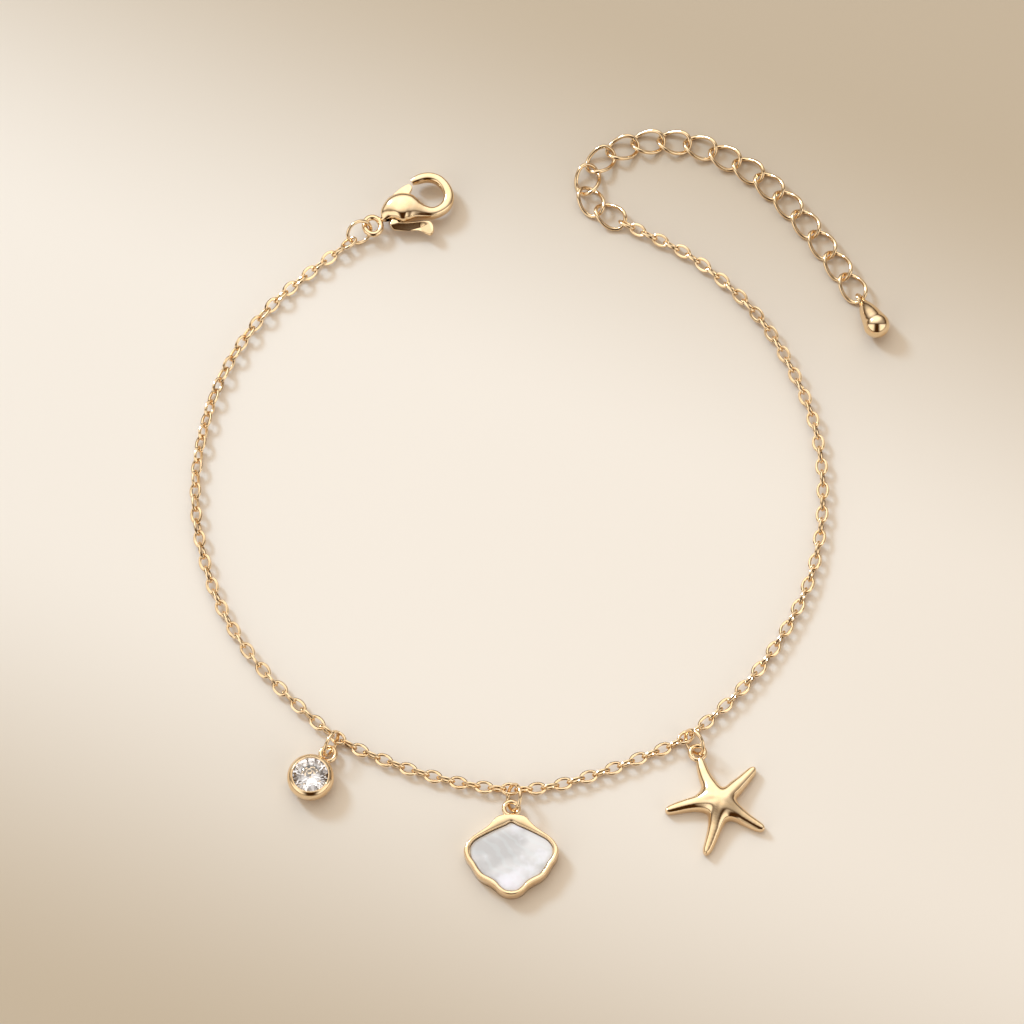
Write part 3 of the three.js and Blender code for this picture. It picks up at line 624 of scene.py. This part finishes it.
def pale_table(settings):
    """A matt pale table top with painted shade: darker past two slanting bands, towards the back right and
    the front left, and away from its middle.
    """
    material, recipe = blank("Pale table")
    blotch = recipe.noise(9.0, 3.0)
    grain = recipe.noise(900.0, 2.0)
    spot = recipe.node("ShaderNodeNewGeometry")
    across, away, _ = recipe.parts(spot)
    slant = TABLE_SLANT * across + away + 0.004 * blotch
    # Painted shade: the table's colour darkens past two slanting bands and away from the middle, in place of
    # light that falls off.
    far = recipe.band(slant, *TABLE_FAR)
    near = recipe.band(-1 * slant, *TABLE_NEAR)
    outward = recipe.node("ShaderNodeVectorMath", {"operation": "LENGTH"}, {0: spot}, out=1)
    edge = recipe.band(outward, *TABLE_ROUND)
    recipe.surface({
        "Base Color": recipe.mixed(TABLE_PAINTED_SHADE * (far + near) + TABLE_ROUND_PAINTED_SHADE * edge,
                                   (*settings.floor_colour, 1), (*settings.floor_painted_shade, 1)),
        "Roughness": 0.6 + 0.1 * grain,
        "Specular IOR Level": 0.25,
        "Normal": recipe.bump(grain, 0.03, 0.0001),
    })
    return material


# Settings in the sidebar

def colour(name, text, value):
    return bpy.props.FloatVectorProperty(
        name=name, description=text, default=value, subtype="COLOR", size=3, min=0.0, max=1.0)


def length(name, text, value):
    return bpy.props.FloatProperty(name=name, description=text, default=value * MM, unit="LENGTH",
                                   min=0.0, precision=5)


def amount(name, text, value, top=1.0):
    return bpy.props.FloatProperty(name=name, description=text, default=value, min=0.0, max=top)


class AnkletChainSettings(bpy.types.PropertyGroup):
    link_length: length("Link length", "Outside length of a fine link", 2.44)
    link_width: length("Link width", "Outside width of a fine link", 1.68)
    link_wire: length("Link wire", "Diameter of the wire of a fine link", 0.4)
    extender_wire: length("Extender wire", "Diameter of the wire of an extender link", EXTENDER_WIRE)
    ring_wire: length("Ring wire", "Diameter of the wire of a jump ring", RING_WIRE)


class AnkletFinishSettings(bpy.types.PropertyGroup):
    gold_colour: colour("Gold", "Colour of the polished gold", (0.88, 0.68, 0.44))
    gold_warm: colour("Warm gold", "Deeper tone of the gold, in soft patches", (0.85, 0.625, 0.37))
    gold_roughness: amount("Gold roughness", "How dull the gold is", 0.1)
    stone_colour: colour("Stone", "Colour of the cut stone", (0.93, 0.915, 0.94))
    stone_index: amount("Stone index", "Refractive index of the cut stone", 2.16, 3.0)
    pearl_colour: colour("Pearl", "Light colour of the mother-of-pearl", (0.8, 0.755, 0.715))
    pearl_shade: colour("Pearl shade", "Shaded colour of the mother-of-pearl", (0.56, 0.525, 0.495))
    pearl_rose: colour("Pearl rose", "Rosy patches of the mother-of-pearl", (0.93, 0.85, 0.89))
    pearl_green: colour("Pearl green", "Growth lines of the mother-of-pearl", (0.8, 0.9, 0.88))
    # Painted highlight: colour of the near-white patches on the mother-of-pearl
    pearl_painted_glint: colour("Pearl glint", "Bright spots of the mother-of-pearl", (0.95, 0.91, 0.94))


class AnkletStudioSettings(bpy.types.PropertyGroup):
    floor_colour: colour("Floor", "Colour of the table top", (0.88, 0.775, 0.65))
    # Painted shade: the table top's colour towards two of its corners and away from its middle
    floor_painted_shade: colour("Floor tint", "Tone of the table top towards two of its corners", (0.52, 0.4, 0.265))
    sky_light: colour("Panels", "Colour of the lit panels round the table", (1.0, 0.96, 0.9))
    sky_dark: colour("Gaps", "Colour of the unlit part of the room", (0.03, 0.012, 0.002))
    sky_power: amount("Sky power", "Strength of the light all round", 1.9, 20.0)
    key_colour: colour("Key colour", "Tone of the soft light from the upper left", (0.46, 0.7, 1.0))
    key_power: bpy.props.FloatProperty(
        name="Key power", description="Power of the soft light from the upper left",
        default=4.1, unit="POWER", min=0.0)


class PieceOperator:
    """What the operators of the anklet's pieces share."""

    bl_options = {"REGISTER", "UNDO"}

    @property
    def chain(self):
        return bpy.context.scene.anklet_chain

    @property
    def finish(self):
        return bpy.context.scene.anklet_finish

    @property
    def gold(self):
        return polished_gold(self.finish)


class ANKLET_OT_fine_chain(PieceOperator, bpy.types.Operator):
    """Lays the crossed links of the fine chain, and the links that carry rings"""

    bl_idname = "anklet.fine_chain"
    bl_label = "Fine chain"

    def link(self, steps=28, sides=10):
        """One oval link about its own middle."""
        chain = self.chain
        return oval(chain.link_length / MM, chain.link_width / MM, chain.link_wire / MM, steps, sides)

    def execute(self, context):
        for i, name in enumerate(STRETCHES):
            start, end = CHAIN_STOPS[i], CHAIN_STOPS[i + 1]
            form = Form()
            for number in range(start["link"] + 1, end["link"]):
                part = (number - start["link"]) / (end["link"] - start["link"])
                share = start["share"] + part * (end["share"] - start["share"])
                roll = math.radians(start["roll"] + part * (end["roll"] - start["roll"]))
                roll += math.pi / 2 * (number % 2)
                spot = np.array([*chain_route.at(share), CHAIN_HEIGHT]) + SHIFT
                link = self.link().placed(spot, turning(chain_route.heading(share), roll))
                form.add(link.points, link.faces)
            finished(loose("fine_" + name, form), self.gold, [name])
        for node in FINE_NODES:
            form = self.link(40, 14).placed(*own_place(node))
            finished(loose("fine_" + node, form), self.gold, [node])
        return {"FINISHED"}


class ANKLET_OT_jump_rings(PieceOperator, bpy.types.Operator):
    """Hangs the four jump rings where the frame has them"""

    bl_idname = "anklet.jump_rings"
    bl_label = "Jump rings"

    def execute(self, context):
        for node in RING_NODES:
            ring = oval(RING_DIAMETER, RING_DIAMETER, self.chain.ring_wire / MM, 80, 20)
            finished(loose("smooth_" + node, ring.placed(*own_place(node))), self.gold, [node])
        return {"FINISHED"}


class ANKLET_OT_extender(PieceOperator, bpy.types.Operator):
    """Makes the twisted links of the extender"""

    bl_idname = "anklet.extender"
    bl_label = "Extender"

    def execute(self, context):
        for number in range(1, EXTENDER_COUNT + 1):
            node = f"extender_link_{number:02d}"
            link = oval(EXTENDER_LENGTH, EXTENDER_WIDTH, self.chain.extender_wire / MM, 80, 18,
                        EXTENDER_TWIST)
            finished(loose("smooth_" + node, link.placed(*own_place(node))), self.gold, [node])
        return {"FINISHED"}


class ANKLET_OT_end_drop(PieceOperator, bpy.types.Operator):
    """Makes the pear-shaped drop at the end of the extender"""

    bl_idname = "anklet.end_drop"
    bl_label = "End drop"

    def execute(self, context):
        node = f"extender_link_{EXTENDER_COUNT}"
        ahead = own_place(node)[1][:, 0]
        ahead = ahead * np.sign(ahead @ np.array([1, -1, 0]))
        link_heading = math.atan2(ahead[1], ahead[0])
        loop_radius = (DROP_LOOP_DIAMETER - DROP_LOOP_WIRE) / 2
        slack = (loop_radius - DROP_LOOP_WIRE / 2 - EXTENDER_WIRE / 2) / 2
        reach = (EXTENDER_LENGTH - EXTENDER_WIRE) / 2 - slack
        along = np.array([math.cos(link_heading), math.sin(link_heading), 0])
        loop_centre = middle(node) + reach * along + [0, 0, DROP_LOOP_LIFT]
        radius = DROP_DIAMETER / 2
        pitch = math.asin((radius - loop_centre[2]) / DROP_REACH)
        roll = math.pi / 2 + math.atan2(2 * EXTENDER_TWIST, (EXTENDER_WIDTH - EXTENDER_WIRE) / 2)
        axes = turning(link_heading + math.radians(DROP_TURN), roll, pitch)

        side = spline([(half * radius, share * DROP_REACH) for share, half in DROP_SECTION], per_span=6)
        arc = np.linspace(0, math.pi / 2, 20)[1:]
        end = np.stack([radius * np.cos(arc), DROP_REACH + radius * np.sin(arc)], 1)
        profile = np.vstack([side, end])
        profile[-1, 0] = 0
        upright = np.array([[0, 0, 1], [0, 1, 0], [-1, 0, 0]])
        body = lathe(profile, 72).placed((0, 0, 0), upright)
        drop = loose("smooth_end_drop", body.placed(loop_centre, axes))
        loop = oval(DROP_LOOP_DIAMETER, DROP_LOOP_DIAMETER, DROP_LOOP_WIRE, 56, 18)
        combine(drop, loop.placed(loop_centre, axes), "UNION")
        finished(drop, self.gold, ["end_drop"])
        return {"FINISHED"}


def flat_loop(centre):
    """The loop of a charm, soldered to its edge."""
    loop = oval(LOOP_DIAMETER, LOOP_DIAMETER, LOOP_WIRE, 64, 18)
    return loop.placed((*centre[:2], LOOP_HEIGHT), np.eye(3))


class ANKLET_OT_stone(PieceOperator, bpy.types.Operator):
    """Makes the bezel cup and the brilliant cut stone in it"""

    bl_idname = "anklet.stone"
    bl_label = "Stone charm"

    def cup(self):
        """The bezel with its lip over the stone and a hollow under it."""
        r = BEZEL_DIAMETER / 2
        h = BEZEL_HEIGHT
        bore = STONE_DIAMETER / 2 + STONE_CLEARANCE
        girdle = h - STONE_DEPTH
        outside = spline([(a * r, b * h) for a, b in BEZEL_OUTSIDE])
        lip = spline([(a * r, b * h) for a, b in BEZEL_LIP])
        inside = [(STONE_SHOWING / 2, h - 0.05), (STONE_SHOWING / 2 - 0.01, h - 0.12),
                  (STONE_SHOWING / 2, h - 0.34), (bore, girdle + STONE_CLEARANCE), (bore, girdle - 0.35),
                  (0.2 * bore, 0.06 * h), (0, 0.06 * h)]
        return lathe(np.array([(0, 0), *outside, *lip, *inside]), 120)

    def brilliant(self):
        """A round cut: table, crown and girdle, and a pavilion that ends in a small flat."""
        r = STONE_DIAMETER / 2
        girdle = BEZEL_HEIGHT - STONE_DEPTH
        table, top = TABLE_SHARE * r, girdle + CROWN_SHARE * r
        low = girdle - GIRDLE_HEIGHT
        culet = low - PAVILION_SLOPE * r
        star = STAR_FACET_SHARE * r
        star_height = girdle + (r - star * math.cos(math.pi / 8)) * (top - girdle) / (r - table)
        break_radius = BREAK_SHARE * r
        break_height = culet + break_radius * math.cos(math.pi / 8) * (low - culet) / r

        def ring(radius, height, count, offset):
            turns = 2 * math.pi * (np.arange(count) + offset) / count
            return [(radius * math.cos(t), radius * math.sin(t), height) for t in turns]

        points = (ring(table, top, 8, 0) + ring(star, star_height, 8, 0.5) + ring(r, girdle, 16, 0)
                  + ring(r, low, 16, 0) + ring(break_radius, break_height, 8, 0.5)
                  + ring(CULET_SHARE * break_radius, culet + CULET_SHARE * (break_height - culet), 8, 0.5))
        faces = [tuple(range(8)), tuple(range(56, 64))]
        for k in range(8):
            n = (k + 1) % 8
            t0, t1, s0, s1 = k, n, 8 + (k - 1) % 8, 8 + k
            g0, g1, g2 = 16 + 2 * k, 16 + 2 * k + 1, 16 + (2 * k + 2) % 16
            p0, p1, p2 = g0 + 16, g1 + 16, g2 + 16
            b0, b1 = 48 + (k - 1) % 8, 48 + k
            faces += [(t0, t1, s1), (t0, s0, g0, s1), (s1, g0, g1), (s1, g1, g2),
                      (g0, g1, p1, p0), (g1, g2, p2, p1), (b1, p0, p1), (b1, p1, p2),
                      (b1 + 8, b1, p0, b0, b0 + 8)]
        return Form().add(points, faces)

    def execute(self, context):
        centre = middle("stone") * [1, 1, 0]
        turn = math.radians(STONE_TURN)
        reach = BEZEL_DIAMETER / 2 + LOOP_DIAMETER / 2 - BEZEL_OVERLAP
        bezel = loose("smooth_bezel", self.cup().placed(centre, np.eye(3)))
        combine(bezel, flat_loop(centre + reach * np.array([math.cos(turn), math.sin(turn), 0])), "UNION")
        finished(bezel, self.gold, ["stone_bezel"])
        cut_stone = self.brilliant().placed(centre, turning(math.radians(STONE_ROLL)))
        stone = loose("brilliant_stone", cut_stone)
        finished(stone, clear_stone(self.finish), ["stone"], sharp=1.0)
        return {"FINISHED"}


def mirrored(rows, count):
    """A closed outline from its right half, in even steps from the top down the right side."""
    right = [(a * SHELL_WIDTH / 2, -d * SHELL_HEIGHT) for a, d in rows]
    left = [(-x, y) for x, y in right[-2:0:-1]]
    line = spline(right + left, closed=True)
    half = len(line) // 2
    return np.vstack([even(line[:half + 1], count // 2 + 1)[:-1],
                      even(np.vstack([line[half:], line[:1]]), count // 2 + 1)[:-1]])


def shrunk(outline, distance):
    """The outline moved inward; it runs clockwise seen from above."""
    along = np.roll(outline, -1, axis=0) - np.roll(outline, 1, axis=0)
    along /= np.linalg.norm(along, axis=1)[:, None]
    return outline + distance * np.stack([along[:, 1], -along[:, 0]], 1)


class ANKLET_OT_shell(PieceOperator, bpy.types.Operator):
    """Makes the shell's rounded rim and its mother-of-pearl plate"""

    bl_idname = "anklet.shell"
    bl_label = "Shell charm"

    def execute(self, context):
        count = SHELL_STEPS
        low, high = (np.array(c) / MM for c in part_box("shell_frame"))
        origin = np.array([(low[0] + high[0]) / 2, low[1] + SHELL_HEIGHT, 0])
        rim = mirrored(RIM_OUTLINE, count)
        inlay = mirrored(INLAY_OUTLINE, count)
        gap = np.linalg.norm(rim - inlay, axis=1)[:, None]
        narrow = gap.min() / gap
        top = SHELL_THICKNESS

        def level(line, height):
            return np.column_stack([line, np.full(count, height)])

        def ring(share, height):
            """A line at a share of the way from the outside to the plate."""
            return level(rim + (inlay - rim) * share, height)

        rows = [level(shrunk(rim, inward) if inward else rim, height) for inward, height in RIM_FOOT]
        rows.append(ring(0, RIM_SHOULDER))
        for angle in np.radians(np.linspace(8, 90, 9)):
            share = RIM_ROUND * narrow * (1 - math.cos(angle))
            rows.append(ring(share, RIM_SHOULDER + (top - RIM_SHOULDER) * math.sin(angle)))
        rows.append(ring(0.5, top))
        for angle in np.radians(np.linspace(8, 80, 7)):
            share = 1 - RIM_BEVEL * narrow * (1 - math.sin(angle))
            rows.append(ring(share, top - RIM_BEVEL_FALL * (1 - math.cos(angle))))
        rows += [ring(1, top - RIM_STEP), ring(1, SHELL_BACK)]
        form = Form().net(rows, caps=True)
        frame_piece = loose("smooth_shell_frame", form.placed(origin, np.eye(3)))
        combine(frame_piece, flat_loop(origin + [0, LOOP_DIAMETER / 2 - LOOP_WIRE / 2, 0]), "UNION")
        finished(frame_piece, self.gold, ["shell_frame"])

        edge = shrunk(inlay, INLAY_CLEARANCE)
        heart = edge.mean(0)
        floor, crown = SHELL_BACK + INLAY_CLEARANCE, SHELL_BACK + INLAY_THICKNESS
        levels = [(1.0, floor), *((share, crown - fall) for share, fall in INLAY_EDGE)]
        levels += [(share, crown - INLAY_DOME * share) for share in (0.85, 0.7, 0.5, 0.3, 0.12)]
        rows = [level(heart + (edge - heart) * share, height) for share, height in levels]
        plate = Form().net(rows, caps=True).placed(origin, np.eye(3))
        finished(loose("pearl_plate", plate), mother_of_pearl(self.finish), ["shell_inlay"],
                 sharp=50.0)
        return {"FINISHED"}


class ANKLET_OT_starfish(PieceOperator, bpy.types.Operator):
    """Makes the domed starfish"""

    bl_idname = "anklet.starfish"
    bl_label = "Starfish charm"

    def arm_point(self, arm, along):
        heading = math.radians(arm["heading"])
        forward = np.array([math.cos(heading), math.sin(heading)])
        sideways = np.array([-forward[1], forward[0]])
        reach = arm["length"] * STAR_ARM
        return forward * reach * along + sideways * arm["bend"] * reach * 4 * along * (1 - along)

    def rows(self):
        """Edge, spine and height round the star."""
        rows = []
        for i, arm in enumerate(STAR_ARMS):
            following = STAR_ARMS[(i + 1) % len(STAR_ARMS)]["heading"]
            following += 360 if following < arm["heading"] else 0
            for side, stations in ((-1, ARM_STATIONS), (1, ARM_STATIONS[-2::-1])):
                for along, half in stations:
                    spine = self.arm_point(arm, along)
                    tangent = self.arm_point(arm, along + 0.01) - self.arm_point(arm, along - 0.01)
                    tangent /= np.linalg.norm(tangent)
                    edge = spine + side * half * STAR_ARM_WIDTH / 2 * np.array([-tangent[1], tangent[0]])
                    height = STAR_TIP_HEIGHT + (STAR_HEIGHT - STAR_TIP_HEIGHT) * (1 - along) ** STAR_SLOPE
                    rows.append((*edge, *spine, height))
            between = math.radians((arm["heading"] + following) / 2)
            crotch = arm["crotch"] * STAR_CROTCH * np.array([math.cos(between), math.sin(between)])
            rows.append((*crotch, 0, 0, STAR_HEIGHT))
        return spline(rows, closed=True, per_span=6)

    def execute(self, context):
        rows = self.rows()
        edge, spine, height = rows[:, :2], rows[:, 2:4], rows[:, 4:]
        nets = [np.column_stack([edge * 0.97, 0 * height]), np.column_stack([edge, 0 * height + 0.08]),
                np.column_stack([edge, 0 * height + STAR_SIDE])]
        for angle in np.radians(np.linspace(6, 90, 15)):
            outward = max(math.cos(angle), 0) ** STAR_FULLNESS
            upward = math.sin(angle) ** STAR_FULLNESS
            nets.append(np.column_stack([spine + (edge - spine) * outward,
                                         STAR_SIDE + (height - STAR_SIDE) * upward]))
        form = Form().net(nets)
        width = len(rows)
        start = len(form.points)
        form.add([(0, 0, 0)], [])
        form.faces += [(start, (k + 1) % width, k) for k in range(width)]
        node_low = corner("starfish")
        own_low = form.points.min(0)
        origin = node_low - own_low
        tip = self.arm_point(STAR_ARMS[0], 1)
        out = math.radians(STAR_ARMS[0]["heading"])
        loop_centre = tip + (LOOP_DIAMETER / 2 - LOOP_WIRE) * np.array([math.cos(out), math.sin(out)])
        star = loose("smooth_starfish", form.placed(origin * [1, 1, 0], np.eye(3)))
        soften(star, STAR_GRAIN, STAR_POLISH)
        combine(star, flat_loop(np.array([*loop_centre, 0]) + origin), "UNION")
        finished(star, self.gold, ["starfish"], sharp=60.0)
        return {"FINISHED"}


class ANKLET_OT_clasp(PieceOperator, bpy.types.Operator):
    """Makes the lobster clasp and its lever"""

    bl_idname = "anklet.clasp"
    bl_label = "Lobster clasp"

    def spot(self, place):
        return np.array([place[0] * CLASP_LENGTH, place[1] * CLASP_WIDTH, 0.0])

    def skin(self):
        """The body's outside, its sections a little fuller than an ellipse."""
        scales = [CLASP_LENGTH, CLASP_WIDTH, CLASP_WIDTH / 2, CLASP_THICKNESS / 2]
        line = spline(np.array(CLASP_SECTIONS) * scales, per_span=9)
        tangent = np.gradient(line[:, :2], axis=0)
        tangent /= np.linalg.norm(tangent, axis=1)[:, None]
        roll = 2 * math.pi * np.arange(48) / 48
        sideways, upward = (np.sign(side) * np.abs(side) ** CLASP_FULLNESS
                            for side in (np.cos(roll), np.sin(roll)))
        rows = []
        for (x, y, wide, thick), (tx, ty) in zip(line, tangent):
            rows.append(np.stack([x - ty * wide * sideways, y + tx * wide * sideways, thick * upward], 1))
        return Form().net(rows, caps=True)

    def lever_outline(self, turn=0.0, grown=0.0, per_span=5):
        """The lever seen from above, turned about its pivot and grown all round."""
        outline = spline([self.spot(p)[:2] for p in LEVER_OUTLINE], closed=True, per_span=per_span)
        outline = shrunk(outline, grown) if grown else outline
        pivot = self.spot(PIVOT)[:2]
        return (outline - pivot) @ turning(turn)[:2, :2].T + pivot

    def plate(self, outline, half):
        """A flat plate between two equal heights."""
        rows = [np.column_stack([outline, np.full(len(outline), z)]) for z in (-half, half)]
        return Form().net(rows, caps=True)

    def rod(self, radius, length, sides=32):
        """A round bar upright in the pivot."""
        profile = np.array([(0, -length / 2), (radius, -length / 2), (radius, length / 2), (0, length / 2)])
        return lathe(profile, sides).placed(self.spot(PIVOT), np.eye(3))

    def execute(self, context):
        axes = turning(math.radians(CLASP_TURN))
        pivot = np.array(frame["joints"][0]["pos_m"]) / MM
        base = pivot - axes @ self.spot(PIVOT)
        gap = LEVER_THICKNESS / 2 + SLOT_CLEARANCE
        body = loose("smooth_clasp_body", self.skin().placed(base, axes))
        for turn in np.linspace(0, -math.radians(LEVER_SWING), SLOT_POSITIONS):
            room = self.plate(self.lever_outline(turn, SLOT_CLEARANCE, per_span=1), gap)
            combine(body, room.placed(base, axes), "DIFFERENCE")
        combine(body, self.rod(PIN_DIAMETER / 2, 3 * gap).placed(base, axes), "UNION")
        loop = oval(CLASP_LOOP_LENGTH, CLASP_LOOP_WIDTH, CLASP_LOOP_WIRE, 72, 20)
        combine(body, loop.placed(self.spot(CLASP_LOOP), np.eye(3)).placed(base, axes), "UNION")
        finished(body, self.gold, ["clasp_body"])

        half = LEVER_THICKNESS / 2
        lever = loose("smooth_clasp_lever", self.plate(self.lever_outline(), half).placed(base, axes))
        bore = self.rod(PIN_DIAMETER / 2 + PIN_CLEARANCE, 3 * half)
        combine(lever, bore.placed(base, axes), "DIFFERENCE")
        soften(lever, LEVER_GRAIN, LEVER_POLISH)
        corners = (np.array([v.co for v in lever.data.vertices]) / MM - base) @ axes
        outward = np.clip((TRIGGER_EDGE * CLASP_WIDTH - corners[:, 1]) / TRIGGER_WIDTH, 0, 1)
        before_flare = np.clip((TRIGGER_FLARE * CLASP_LENGTH - corners[:, 0]) / TRIGGER_WIDTH, 0, 1)
        raised = (corners[:, 2] / half + 1) / 2
        corners[:, 2] -= TRIGGER_FALL * outward ** TRIGGER_CURVE * before_flare * raised
        lever.data.vertices.foreach_set("co", ((corners @ axes.T + base) * MM).ravel())
        lever.data.update()
        finished(lever, self.gold, ["clasp_lever"], body="lever")
        return {"FINISHED"}


class ANKLET_OT_studio(bpy.types.Operator):
    """Sets up the table, the soft light and the camera of the photograph"""

    bl_idname = "anklet.studio"
    bl_label = "Studio"

    def floor(self, studio):
        half = TABLE_HALF / MM
        form = Form().add([(-half, -half, 0), (half, -half, 0), (half, half, 0), (-half, half, 0)],
                          [(0, 1, 2, 3)])
        table = loose("table_top", form)
        table.data.materials.append(pale_table(studio))

    def light(self, name, place, target, size, power, tint):
        lamp = bpy.data.lights.new(name, "AREA")
        lamp.shape = "DISK"
        lamp.size = size
        lamp.energy = power
        lamp.color = tint
        obj = bpy.data.objects.new(name, lamp)
        obj.location = place
        obj.rotation_euler = (Vector(target) - Vector(place)).to_track_quat("-Z", "Y").to_euler()
        bpy.context.scene.collection.objects.link(obj)

    def sky(self, studio):
        """One large panel over and behind the table, one to each side in front, and dark gaps between."""
        world = bpy.data.worlds.new("Studio")
        bpy.context.scene.world = world
        recipe = Recipe(world)
        where = recipe.node("ShaderNodeTexCoord")
        across, ahead, height = recipe.parts(where)
        beside = recipe.node("ShaderNodeMath", {"operation": "ABSOLUTE"}, {0: across})
        behind = SKY_TILT[0] * ahead + SKY_TILT[1] * height
        centre = recipe.node("ShaderNodeVectorMath", {"operation": "DOT_PRODUCT"},
                             {0: where, 1: SKY_CENTRE}, out=1)
        over = recipe.band(behind, *OVERHEAD_EDGE) * recipe.band(height, *OVERHEAD_RISE)
        over = over * (OVERHEAD_AFAR + (1 - OVERHEAD_AFAR) * recipe.band(centre, *OVERHEAD_FOCUS))
        in_front = recipe.band(SKY_EDGE - behind, *FRONT_EDGE) * recipe.band(beside, *FRONT_SIDE)
        in_front = FRONT_SHARE * in_front * recipe.band(height, *FRONT_RISE)
        tone = recipe.mixed(over + in_front, (*studio.sky_dark, 1), (*studio.sky_light, 1))
        recipe.node_out("ShaderNodeOutputWorld", recipe.node(
            "ShaderNodeBackground", {}, {"Color": tone, "Strength": studio.sky_power}))

    def camera(self):
        """Looks down at the photograph's angle, as wide as the photograph is."""
        elevation = math.radians(CAMERA_ELEVATION)
        focal = CAMERA_LENS / CAMERA_SENSOR * PHOTO_SIDE
        distance = focal / PIXELS_PER_MM * MM
        back = Vector((0, -math.cos(elevation), math.sin(elevation)))
        up = Vector((0, math.sin(elevation), math.cos(elevation)))
        view = bpy.data.cameras.new("photo_camera")
        view.lens = CAMERA_LENS
        view.sensor_width = CAMERA_SENSOR
        view.clip_start = 0.01
        obj = bpy.data.objects.new("photo_camera", view)
        target = Vector((SHIFT[0] * MM, SHIFT[1] * MM, 0))
        turned = Matrix((Vector((1, 0, 0)), up, back)).transposed().to_4x4()
        obj.matrix_world = Matrix.Translation(target + back * distance) @ turned
        bpy.context.scene.collection.objects.link(obj)
        bpy.context.scene.camera = obj

    def execute(self, context):
        studio = context.scene.anklet_studio
        self.floor(studio)
        self.sky(studio)
        self.light("key_light", KEY_PLACE, (0, 0, 0), KEY_SIZE, studio.key_power, studio.key_colour)
        self.camera()
        context.scene.view_settings.view_transform = "Standard"
        return {"FINISHED"}


class ANKLET_PT_sidebar(bpy.types.Panel):
    """Lists the steps that dress the anklet"""

    bl_idname = "ANKLET_PT_sidebar"
    bl_label = "Charm Anklet"
    bl_space_type = "VIEW_3D"
    bl_region_type = "UI"
    bl_category = "Anklet"

    def draw(self, context):
        for name in SETTINGS:
            settings = getattr(context.scene, name)
            box = self.layout.box()
            for key in settings.__annotations__:
                box.prop(settings, key)
        for operator in OPERATORS:
            self.layout.operator(operator.bl_idname)


SETTINGS = {
    "anklet_chain": AnkletChainSettings,
    "anklet_finish": AnkletFinishSettings,
    "anklet_studio": AnkletStudioSettings,
}
OPERATORS = [
    ANKLET_OT_fine_chain,
    ANKLET_OT_jump_rings,
    ANKLET_OT_extender,
    ANKLET_OT_end_drop,
    ANKLET_OT_stone,
    ANKLET_OT_shell,
    ANKLET_OT_starfish,
    ANKLET_OT_clasp,
    ANKLET_OT_studio,
]


def register():
    for kind in (*SETTINGS.values(), *OPERATORS, ANKLET_PT_sidebar):
        bpy.utils.register_class(kind)
    for name, kind in SETTINGS.items():
        setattr(bpy.types.Scene, name, bpy.props.PointerProperty(type=kind))


def unregister():
    for name in SETTINGS:
        delattr(bpy.types.Scene, name)
    for kind in (ANKLET_PT_sidebar, *OPERATORS[::-1], *SETTINGS.values()):
        bpy.utils.unregister_class(kind)


def main():
    register()
    for operator in OPERATORS:
        family, name = operator.bl_idname.split(".")
        getattr(getattr(bpy.ops, family), name)()


if __name__ == "__main__":
    main()
